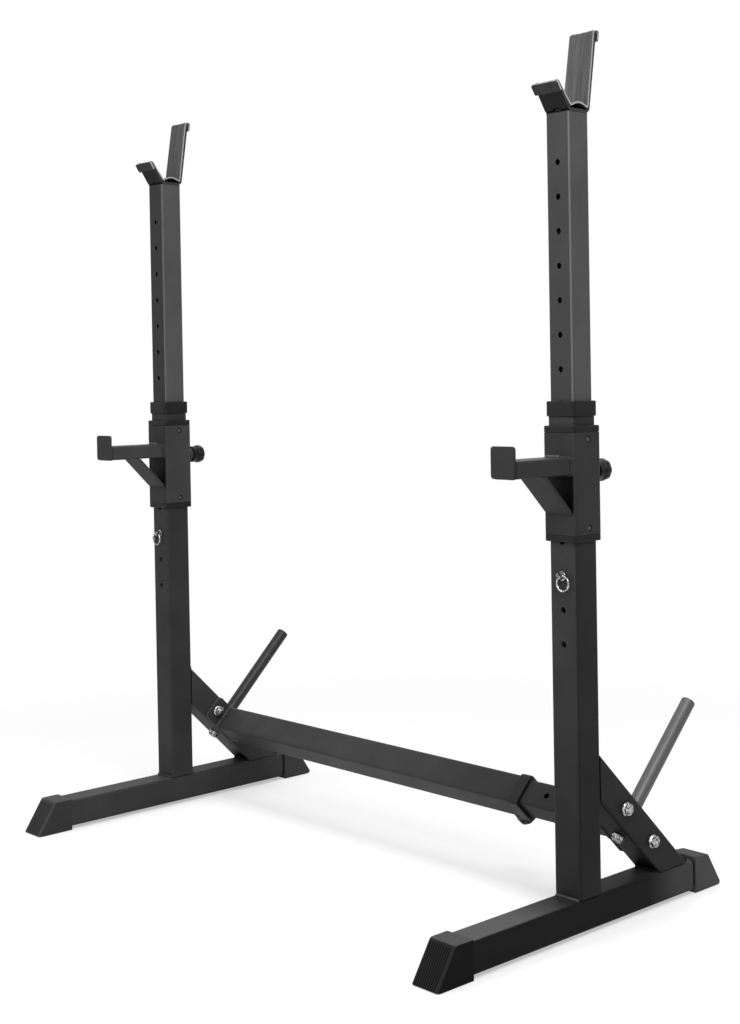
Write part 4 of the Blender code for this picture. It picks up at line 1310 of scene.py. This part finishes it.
def lock_pin_mesh():
    face = -OUTER_TUBE / 2 - GAP - EYE_Y
    tail = LOCK_PIN_TAIL - EYE_Y
    head = face - LOCK_PIN_HEAD
    turned = loft(
        [
            circle(PIN_RADIUS, -0.0045),
            circle(PIN_RADIUS + 0.0006, -0.0035),
            circle(PIN_RADIUS + 0.0006, head),
            circle(LOCK_PIN_HEAD_RADIUS - 0.0006, head),
            circle(LOCK_PIN_HEAD_RADIUS, head + 0.0006),
            circle(LOCK_PIN_HEAD_RADIUS, face),
            circle(PIN_RADIUS, face),
            circle(PIN_RADIUS, tail - 0.0015),
            circle(PIN_RADIUS - 0.0012, tail),
        ]
    )
    turned = combined(turned, rods([(0, 0, 0)], EYE_RADIUS, 0.02, (1, 0, 0)))
    for end in (-1, 1):
        low = (end * 0.0046 - 0.002, -0.01, -0.0053)
        high = (end * 0.0046 + 0.002, 0.01, 0.0035)
        turned = combined(turned, block(low, high))
    return moved(turned, ALONG_Y)


def ring_mesh(radius=0.0112, wire=0.0028, steps=72, sides=16):
    rings = []
    for i in range(steps):
        turn = 2 * math.pi * i / steps
        outward = Vector((math.sin(turn), 0, math.cos(turn)))
        ring = []
        for step in range(sides):
            around = 2 * math.pi * step / sides
            offset = outward * math.cos(around) + Vector((0, 1, 0)) * math.sin(around)
            ring.append(outward * radius + offset * wire / 2 - Vector((0, 0, radius)))
        rings.append(ring)
    return loft(rings, closed=True)


for side, sign in SIDES:
    roll = Matrix.Rotation(-sign * RING_ROLL, 4, "Y")
    eye = side_axes(sign) @ Matrix.Translation((0, EYE_Y, LOCK_HEIGHT)) @ roll
    finished(
        side + "_chromed_pin", moved(lock_pin_mesh(), eye), chrome, side + "_lock_pin",
        [side + "_lock_pin"], edge=0.0002,
    )
    finished(
        side + "_wire_ring", moved(ring_mesh(), eye), chrome, side + "_ring",
        [side + "_pull_ring"], edge=0,
    )
print("locking pins at", round(LOCK_HEIGHT, 4), "m")

# %% [markdown]
# ## Braces and crossbar
# Each brace is a square tube cut at both ends to sit on the leg and against the upright. The
# crossbar is turned so that its faces lie along the braces, and its two tubes telescope.

# %% Braces and crossbar
BOLT_OFFSET = 0.0435
BOLT_RADIUS = 0.005
BOLT_HOLE = 0.0053
BRACE_FACE = HALF_SPAN - OUTER_TUBE / 2
BAR_END = 0.3195
BAR_FIRST_HOLE = 0.3686
BAR_HOLES = 7
BAR_COLLAR_WIDTH = 0.056
BAR_COLLAR_START = 0.302
BAR_COLLAR_END = 0.3235
BAR_PLATE_HALF_LENGTH = 0.0585
BAR_PLATE_HALF_WIDTH = 0.0245


def brace_mesh():
    half = OUTER_TUBE / 2
    upper = (half + GAP - CROSSBAR_Y) * math.sqrt(2)
    lower = (CROSSBAR_Z - LEG_TOP - GAP) * math.sqrt(2)
    rings = []
    for inset, radius, ends in (
        (0, TUBE_CORNER, ("up", "down")),
        (WALL, INNER_CORNER, ("down", "up")),
    ):
        outline = rounded_rectangle(half - inset, half - inset, radius)
        for end in ends:
            if end == "up":
                rings.append([(x, upper - z, z) for x, z in outline])
            else:
                rings.append([(x, lower + z, z) for x, z in outline])
    tube = loft(rings, closed=True)
    holes = [(0, offset, 0) for offset in (-BOLT_OFFSET, BOLT_OFFSET)]
    tube = combined(tube, rods(holes, BOLT_HOLE, 0.08, (1, 0, 0)))
    return combined(tube, rods([(0, 0, 0)], BOLT_HOLE, 0.08, (0, 0, 1)))


def bar_plate_mesh(sign):
    outline = rounded_rectangle(BAR_PLATE_HALF_LENGTH, BAR_PLATE_HALF_WIDTH, 0.008)
    middle = -sign * (OUTER_TUBE / 2 + GAP + PLATE / 2)
    faces = (middle - PLATE / 2, middle + PLATE / 2)
    plate = loft([[(x, y, z) for y, z in outline] for x in faces])
    holes = [(middle, offset, 0) for offset in (-BOLT_OFFSET, BOLT_OFFSET)]
    return combined(plate, rods(holes, BOLT_HOLE, 0.03, (1, 0, 0)))


for side, sign in SIDES:
    tilted = brace_axes(sign * HALF_SPAN)
    finished(
        side + "_brace_tube", moved(brace_mesh(), tilted), coat_brace[side], side + "_frame",
        [side + "_diagonal_brace"],
    )
    finished(
        side + "_bar_plate", moved(bar_plate_mesh(sign), tilted), coat_brace[side], side + "_frame",
        [side + "_crossbar_end_plate"],
    )

bar_axes = brace_axes(0)
outer_bar = tube_mesh(OUTER_TUBE, OUTER_TUBE, -BRACE_FACE + PLATE + 2 * GAP, BAR_END)
plunger_hole = rods([(0, 0.025, CROSSBAR_PLUNGER_X)], HOLE_RADIUS, 0.03, (0, 1, 0))
outer_bar = combined(outer_bar, plunger_hole)
bar_holes = hole_row(BAR_FIRST_HOLE, BAR_HOLES, -HOLE_PITCH)
inner_bar = holed_tube(INNER_TUBE, 0, BRACE_FACE - PLATE - 2 * GAP, bar_holes)
bar_collar = stepped_collar(BAR_COLLAR_WIDTH, BAR_COLLAR_START, BAR_END + GAP, BAR_COLLAR_END)
for name, mesh, material, body, slot, replaced in (
    ("bar_outer_tube", outer_bar, coat_bar, "left_frame", "coated_steel", "crossbar_outer"),
    ("bar_inner_tube", inner_bar, coat_bar, "right_frame", "coated_steel", "crossbar_inner"),
    ("bar_collar", bar_collar, plastic_collar, "left_frame", "grey_plastic", "crossbar_collar"),
):
    finished(name, moved(mesh, bar_axes @ ALONG_X), material, body, [replaced])
print("braces and crossbar done")

# %% [markdown]
# ## Bolts and pegs
# The end plates are bolted to the braces, and one bolt from below holds each peg. A bolt's head
# is a hexagon with a chamfered crown over a flat washer.

# %% Bolts and pegs
BOLT_HEX = 0.017
BOLT_HEAD = 0.0064
BOLT_STEPS = 48
NUT_HEIGHT = 0.008
WASHER = 0.0018
WASHER_RADIUS = 0.0102
PEG_RADIUS = 0.01125
PEG_LENGTH = 0.200
PEG_BORE_DEPTH = 0.022
PEG_STEPS = 64


def hexagon(across, z, rounding=0.0):
    """A hexagon as a ring of many points; rounding pulls its corners towards a circle."""
    ring = []
    for i in range(BOLT_STEPS):
        turn = 2 * math.pi * i / BOLT_STEPS
        from_flat = (turn % (math.pi / 3)) - math.pi / 6
        reach = across / 2 / math.cos(from_flat)
        reach = reach + (across / 2 - reach) * rounding
        ring.append((reach * math.cos(turn), reach * math.sin(turn), z))
    return ring


def bolt_head(top, seat):
    """Rings of a head and its washer, from the crown down to the seat."""
    down = math.copysign(1, seat - top)
    under = seat - down * WASHER
    return [
        circle(BOLT_HEX * 0.40, top + down * 0.0003, BOLT_STEPS),
        circle(BOLT_HEX * 0.44, top, BOLT_STEPS),
        hexagon(BOLT_HEX * 0.98, top + down * 0.0003, 1.0),
        hexagon(BOLT_HEX, top + down * 0.0008, 0.45),
        hexagon(BOLT_HEX, top + down * 0.0016, 0.0),
        hexagon(BOLT_HEX, under),
        circle(0.0100, under, BOLT_STEPS),
        circle(WASHER_RADIUS, under + down * 0.0002, BOLT_STEPS),
        circle(WASHER_RADIUS, seat, BOLT_STEPS),
        circle(BOLT_RADIUS, seat, BOLT_STEPS),
    ]


def through_bolt_mesh():
    outer_seat = OUTER_TUBE / 2 + GAP
    inner_seat = -(OUTER_TUBE / 2 + PLATE + 2 * GAP)
    nut_top = inner_seat - WASHER - NUT_HEIGHT
    rings = bolt_head(outer_seat + WASHER + BOLT_HEAD, outer_seat)
    rings += bolt_head(nut_top, inner_seat)[::-1]
    rings.append(circle(BOLT_RADIUS, nut_top, BOLT_STEPS))
    rings.append(circle(BOLT_RADIUS, nut_top - 0.0024, BOLT_STEPS))
    rings.append(circle(BOLT_RADIUS - 0.0006, nut_top - 0.003, BOLT_STEPS))
    return loft(rings)


def peg_bolt_mesh():
    seat = -OUTER_TUBE / 2 - GAP
    rings = bolt_head(seat - WASHER - BOLT_HEAD, seat)
    rings.append(circle(BOLT_RADIUS, OUTER_TUBE / 2 + 0.020, BOLT_STEPS))
    return loft(rings)


def peg_mesh():
    foot = OUTER_TUBE / 2 + GAP
    radius = PEG_RADIUS
    tip = foot + PEG_LENGTH
    return loft(
        [
            circle(BOLT_HOLE, foot + PEG_BORE_DEPTH, PEG_STEPS),
            circle(BOLT_HOLE, foot, PEG_STEPS),
            circle(radius - 0.0004, foot, PEG_STEPS),
            circle(radius, foot + 0.0004, PEG_STEPS),
            circle(radius, tip - 0.0014, PEG_STEPS),
            circle(radius - 0.0003, tip - 0.0006, PEG_STEPS),
            circle(radius - 0.0010, tip, PEG_STEPS),
        ]
    )


for side, sign in SIDES:
    tilted = brace_axes(sign * HALF_SPAN)
    heading = Matrix.Rotation(sign * math.radians(90), 4, "Y")
    for which, offset in (("upper", -BOLT_OFFSET), ("lower", BOLT_OFFSET)):
        place = tilted @ Matrix.Translation((0, offset, 0)) @ heading
        finished(
            side + "_" + which + "_hex_bolt", moved(through_bolt_mesh(), place), zinc,
            side + "_frame", [side + "_" + which + "_bolt"], edge=0,
        )
    finished(
        side + "_peg_hex_bolt", moved(peg_bolt_mesh(), tilted), zinc, side + "_frame",
        [side + "_peg_bolt"], edge=0,
    )
    finished(
        side + "_plate_peg", moved(peg_mesh(), tilted), coat_hammered[side], side + "_frame",
        [side + "_weight_peg"], edge=0.0002,
    )
print("bolts and pegs done")

# %% [markdown]
# ## Welds
# Each joint that isn't bolted is welded. A weld is a bead of small overlapping ripples, so it is
# a tube along the joint whose radius rises and falls every few millimetres. The coat goes over
# it.

# %% Weld beads
BEAD_STEP = 0.0006


def bead_mesh(path, radius, closed=False, ripple=0.0024, sides=10):
    """A rippled tube along a path of points."""
    points = [Vector(point) for point in path]
    if closed:
        points.append(points[0])
    stops = []
    for start, end in zip(points, points[1:]):
        count = max(1, round((end - start).length / BEAD_STEP))
        stops += [start.lerp(end, i / count) for i in range(count)]
    if not closed:
        stops.append(points[-1])
    rings = []
    run = 0.0
    for i, point in enumerate(stops):
        before = stops[i - 1] if closed or i else point
        after = stops[(i + 1) % len(stops)] if closed or i + 1 < len(stops) else point
        along = (after - before).normalized()
        run += (point - before).length if i else 0.0
        level = Vector((0, 0, 1)) if abs(along.z) < 0.9 else Vector((0, 1, 0))
        across = along.cross(level).normalized()
        normal = across.cross(along).normalized()
        swell = radius * (1 + 0.10 * math.cos(2 * math.pi * run / ripple))
        if not closed:
            ends = min(i, len(stops) - 1 - i) * BEAD_STEP
            swell *= min(1.0, 0.35 + ends / 0.002)
        ring = []
        for step in range(sides):
            around = 2 * math.pi * step / sides
            ring.append(point + (across * math.cos(around) + normal * math.sin(around)) * swell)
        rings.append(ring)
    return loft(rings, closed=closed)


def line_bead(half_width, y, z, radius):
    return bead_mesh([(-half_width, y, z), (half_width, y, z)], radius)


def square_path(half_x, half_y, radius, z):
    return [(x, y, z) for x, y in rounded_rectangle(half_x, half_y, radius)]


def weld(name, mesh, axes, body, material):
    finished(name, moved(mesh, axes), material, body, edge=0)


print("beads are drawn every", round(BEAD_STEP * 1000, 1), "mm")

# %% [markdown]
# ## Where the welds lie
# Most beads have the finish of the steel around them. A few stand out, painted lighter as a
# highlight and glossier, and those at the braces' feet are painted black as shade.

# %% Welds
half_tube = OUTER_TUBE / 2
for side, sign in SIDES:
    axes = side_axes(sign)
    for end, y in (("front", -half_tube - 0.0006), ("rear", half_tube + 0.0006)):
        bead = line_bead(0.022, y, LEG_TOP + 0.0002, 0.0030)
        # Only the right front bead carries the painted highlight.
        finish = highlight_weld_coat if (side, end) == ("right", "front") else coat_leg[side]
        weld(side + "_upright_weld_" + end, bead, axes, side + "_frame", finish)
    tilted = brace_axes(sign * HALF_SPAN)
    reach_top = CROSSBAR_Z + CROSSBAR_Y - half_tube
    for end, shift in (("upper", half_tube), ("lower", -half_tube)):
        leg_y = CROSSBAR_Y + CROSSBAR_Z - LEG_TOP + shift * math.sqrt(2)
        bead = line_bead(0.021, leg_y, LEG_TOP + 0.0004, 0.0048)
        # These beads are painted black as shade.
        weld(side + "_brace_foot_weld_" + end, bead, axes, side + "_frame", painted_shade_weld_coat)
        face_z = reach_top + shift * math.sqrt(2)
        bead = line_bead(0.021, half_tube + 0.0006, face_z, 0.0022)
        weld(side + "_brace_head_weld_" + end, bead, axes, side + "_frame", coat_brace[side])
    path = square_path(0.0222, 0.0222, TUBE_CORNER, INNER_TOP - 0.0003)
    weld(side + "_yoke_weld", bead_mesh(path, 0.0008, closed=True), axes, side + "_post", coat_yoke)
    middle = ARM_TOP - ARM_DEPTH / 2
    path = [(x, -0.0304, z + middle) for x, z in rounded_rectangle(0.0248, 0.0126, 0.004)]
    weld(
        side + "_arm_weld", bead_mesh(path, 0.0022, closed=True), axes, side + "_catch",
        coat_catch[side],
    )
    path = [(x, -0.0306, ARM_TOP + 0.0006) for x in (-0.0235, 0.004)]
    bead = bead_mesh(path, 0.0026)
    weld(side + "_arm_top_weld", bead, axes, side + "_catch", highlight_weld_coat)
    outline = rounded_rectangle(0.0212, 0.0124, 0.004)
    path = [(x, -ARM_REACH - 0.0002, z + middle) for x, z in outline]
    weld(
        side + "_stop_weld", bead_mesh(path, 0.0014, closed=True), axes, side + "_catch",
        coat_catch[side],
    )
    under_arm = ARM_TOP - ARM_DEPTH - 0.0008
    bead = line_bead(0.022, -0.0303 - GUSSET_REACH + 0.0042, under_arm, 0.0016)
    weld(side + "_gusset_top_weld", bead, axes, side + "_catch", highlight_weld_coat)
    bead = line_bead(0.021, -0.0304, under_arm - GUSSET_REACH, 0.0007)
    weld(side + "_gusset_foot_weld", bead, axes, side + "_catch", coat_catch[side])
    place = axes @ Matrix.Translation((0, SLEEVE_TUBE / 2, PLUNGER_HEIGHT)) @ ALONG_Y
    weld(
        side + "_boss_weld", bead_mesh(circle(0.0134, 0.0006), 0.0015, closed=True), place,
        side + "_catch", coat_catch[side],
    )
    plate_face = sign * (BRACE_FACE - PLATE - GAP)
    body = side + "_frame"
    half_bar = (OUTER_TUBE if side == "left" else INNER_TUBE) / 2
    half_path = half_bar + GAP
    path = square_path(half_path, half_path, TUBE_CORNER, plate_face - sign * 0.0008)
    weld(
        side + "_bar_weld", bead_mesh(path, 0.0020, closed=True), bar_axes @ ALONG_X, body,
        highlight_weld_coat,
    )
place = bar_axes @ Matrix.Translation((CROSSBAR_PLUNGER_X, half_tube, 0)) @ ALONG_Y
weld(
    "bar_boss_weld", bead_mesh(circle(0.0134, 0.0006), 0.0015, closed=True), place,
    "left_frame", coat_bar,
)
print("welds done")

# %% [markdown]
# ## The crossbar's spring
# This spring is pressed together when its knob is drawn. The imported node is a rigid coil, so
# the coil here stays with the crossbar and gets a mesh of its own.

# %% The crossbar's spring
SPRING_TURNS = 6
SPRING_RADIUS = 0.0052
SPRING_POINTS = 24
SPRING_LOW = 0.0036
SPRING_HIGH = 0.0278


def spring_mesh(low, high, turns):
    path = []
    count = turns * SPRING_POINTS
    for i in range(count + 1):
        turn = 2 * math.pi * i / SPRING_POINTS
        height = low + (high - low) * i / count
        path.append((SPRING_RADIUS * math.cos(turn), SPRING_RADIUS * math.sin(turn), height))
    return bead_mesh(path, 0.0004, sides=8)


spring = finished(
    "crossbar_coil_spring", moved(spring_mesh(SPRING_LOW, SPRING_HIGH, SPRING_TURNS), place),
    spring_wire, "left_frame", ["crossbar_plunger_spring"], edge=0,
)
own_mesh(spring)

# %% [markdown]
# ## Floor and light
# The rack is shown on white. The floor is pale and fades to plain white a step away
# from the rack, so it keeps the rack's shadow and has no horizon. The world is white to the
# camera and in reflections, and dimmer as a lamp, so that dark paint stays dark.

# %% Floor
def floor_material():
    material, socket, shader = start_material("pale_floor")
    tree = socket.tree
    grain = socket.noise(30, detail=3)
    connect(shader, {
        "Base Color": socket.mix(grain, grey(0.84), grey(0.88)),
        "Roughness": 0.85,
        "Specular IOR Level": 0.0,
    })
    inputs = {0: socket.place()}
    distance = socket.node("ShaderNodeVectorMath", {"operation": "LENGTH"}, inputs, "Value")
    far = 0.45 + 0.55 * distance.between(0.75, 1.7)
    seen = socket.node("ShaderNodeLightPath", {}, {}, "Is Camera Ray")
    white = socket.node("ShaderNodeEmission", {}, {"Color": grey(1.0), "Strength": 1.0})
    paint = Socket(tree, shader.outputs[0])
    both = socket.node("ShaderNodeMixShader", {}, {0: far * seen, 1: paint, 2: white})
    tree.links.new(both.output, tree.nodes["Material Output"].inputs["Surface"])
    return material


FLOOR_REACH = 6
floor_mesh = block((-FLOOR_REACH, -FLOOR_REACH, -0.02), (FLOOR_REACH, FLOOR_REACH, -0.0004))
floor_mesh.materials.append(floor_material())
floor = bpy.data.objects.new("floor", floor_mesh)
bpy.context.collection.objects.link(floor)
print("floor reaches", FLOOR_REACH, "m to each side")

# %% [markdown]
# ## World and lamps
# The world is plain white where the camera or a reflection sees it. As a source of light it
# is dimmer, because the lamps add their own share: a large softbox over the right shoulder,
# a weaker one from the left, and one overhead that draws the shadows under the legs.

# %% World and lamps
world = bpy.data.worlds.new("studio")
bpy.context.scene.world = world
world.use_nodes = True
tree = world.node_tree
socket = Socket(tree)
rays = tree.nodes.new("ShaderNodeLightPath")
shown = Socket(tree, rays.outputs["Is Camera Ray"])
for kind in ("Is Glossy Ray", "Is Transmission Ray"):
    shown = shown.math("MAXIMUM", shown, Socket(tree, rays.outputs[kind]))
background = tree.nodes["Background"]
background.inputs["Color"].default_value = grey(1.0)
strength = 0.45 + 0.55 * shown
tree.links.new(strength.output, background.inputs["Strength"])


def softbox(name, place, aim, size, watts):
    lamp = bpy.data.lights.new(name, "AREA")
    lamp.shape = "RECTANGLE"
    lamp.size, lamp.size_y = size
    lamp.energy = watts
    holder = bpy.data.objects.new(name, lamp)
    bpy.context.collection.objects.link(holder)
    direction = Vector(aim) - Vector(place)
    turn = direction.to_track_quat("-Z", "Y").to_matrix().to_4x4()
    holder.matrix_world = Matrix.Translation(place) @ turn


softbox("key_softbox", (1.9, -1.0, 2.3), (0.3, 0, 0.9), (1.4, 1.4), 60)
softbox("fill_softbox", (-0.9, -2.4, 2.0), (0, 0, 0.9), (1.4, 1.4), 28)
softbox("top_softbox", (0, 0.4, 2.8), (0, 0, 0.6), (2.2, 1.4), 40)

view = bpy.context.scene.view_settings
view.view_transform = "Standard"
print("lamps", [lamp.name for lamp in bpy.data.lights])
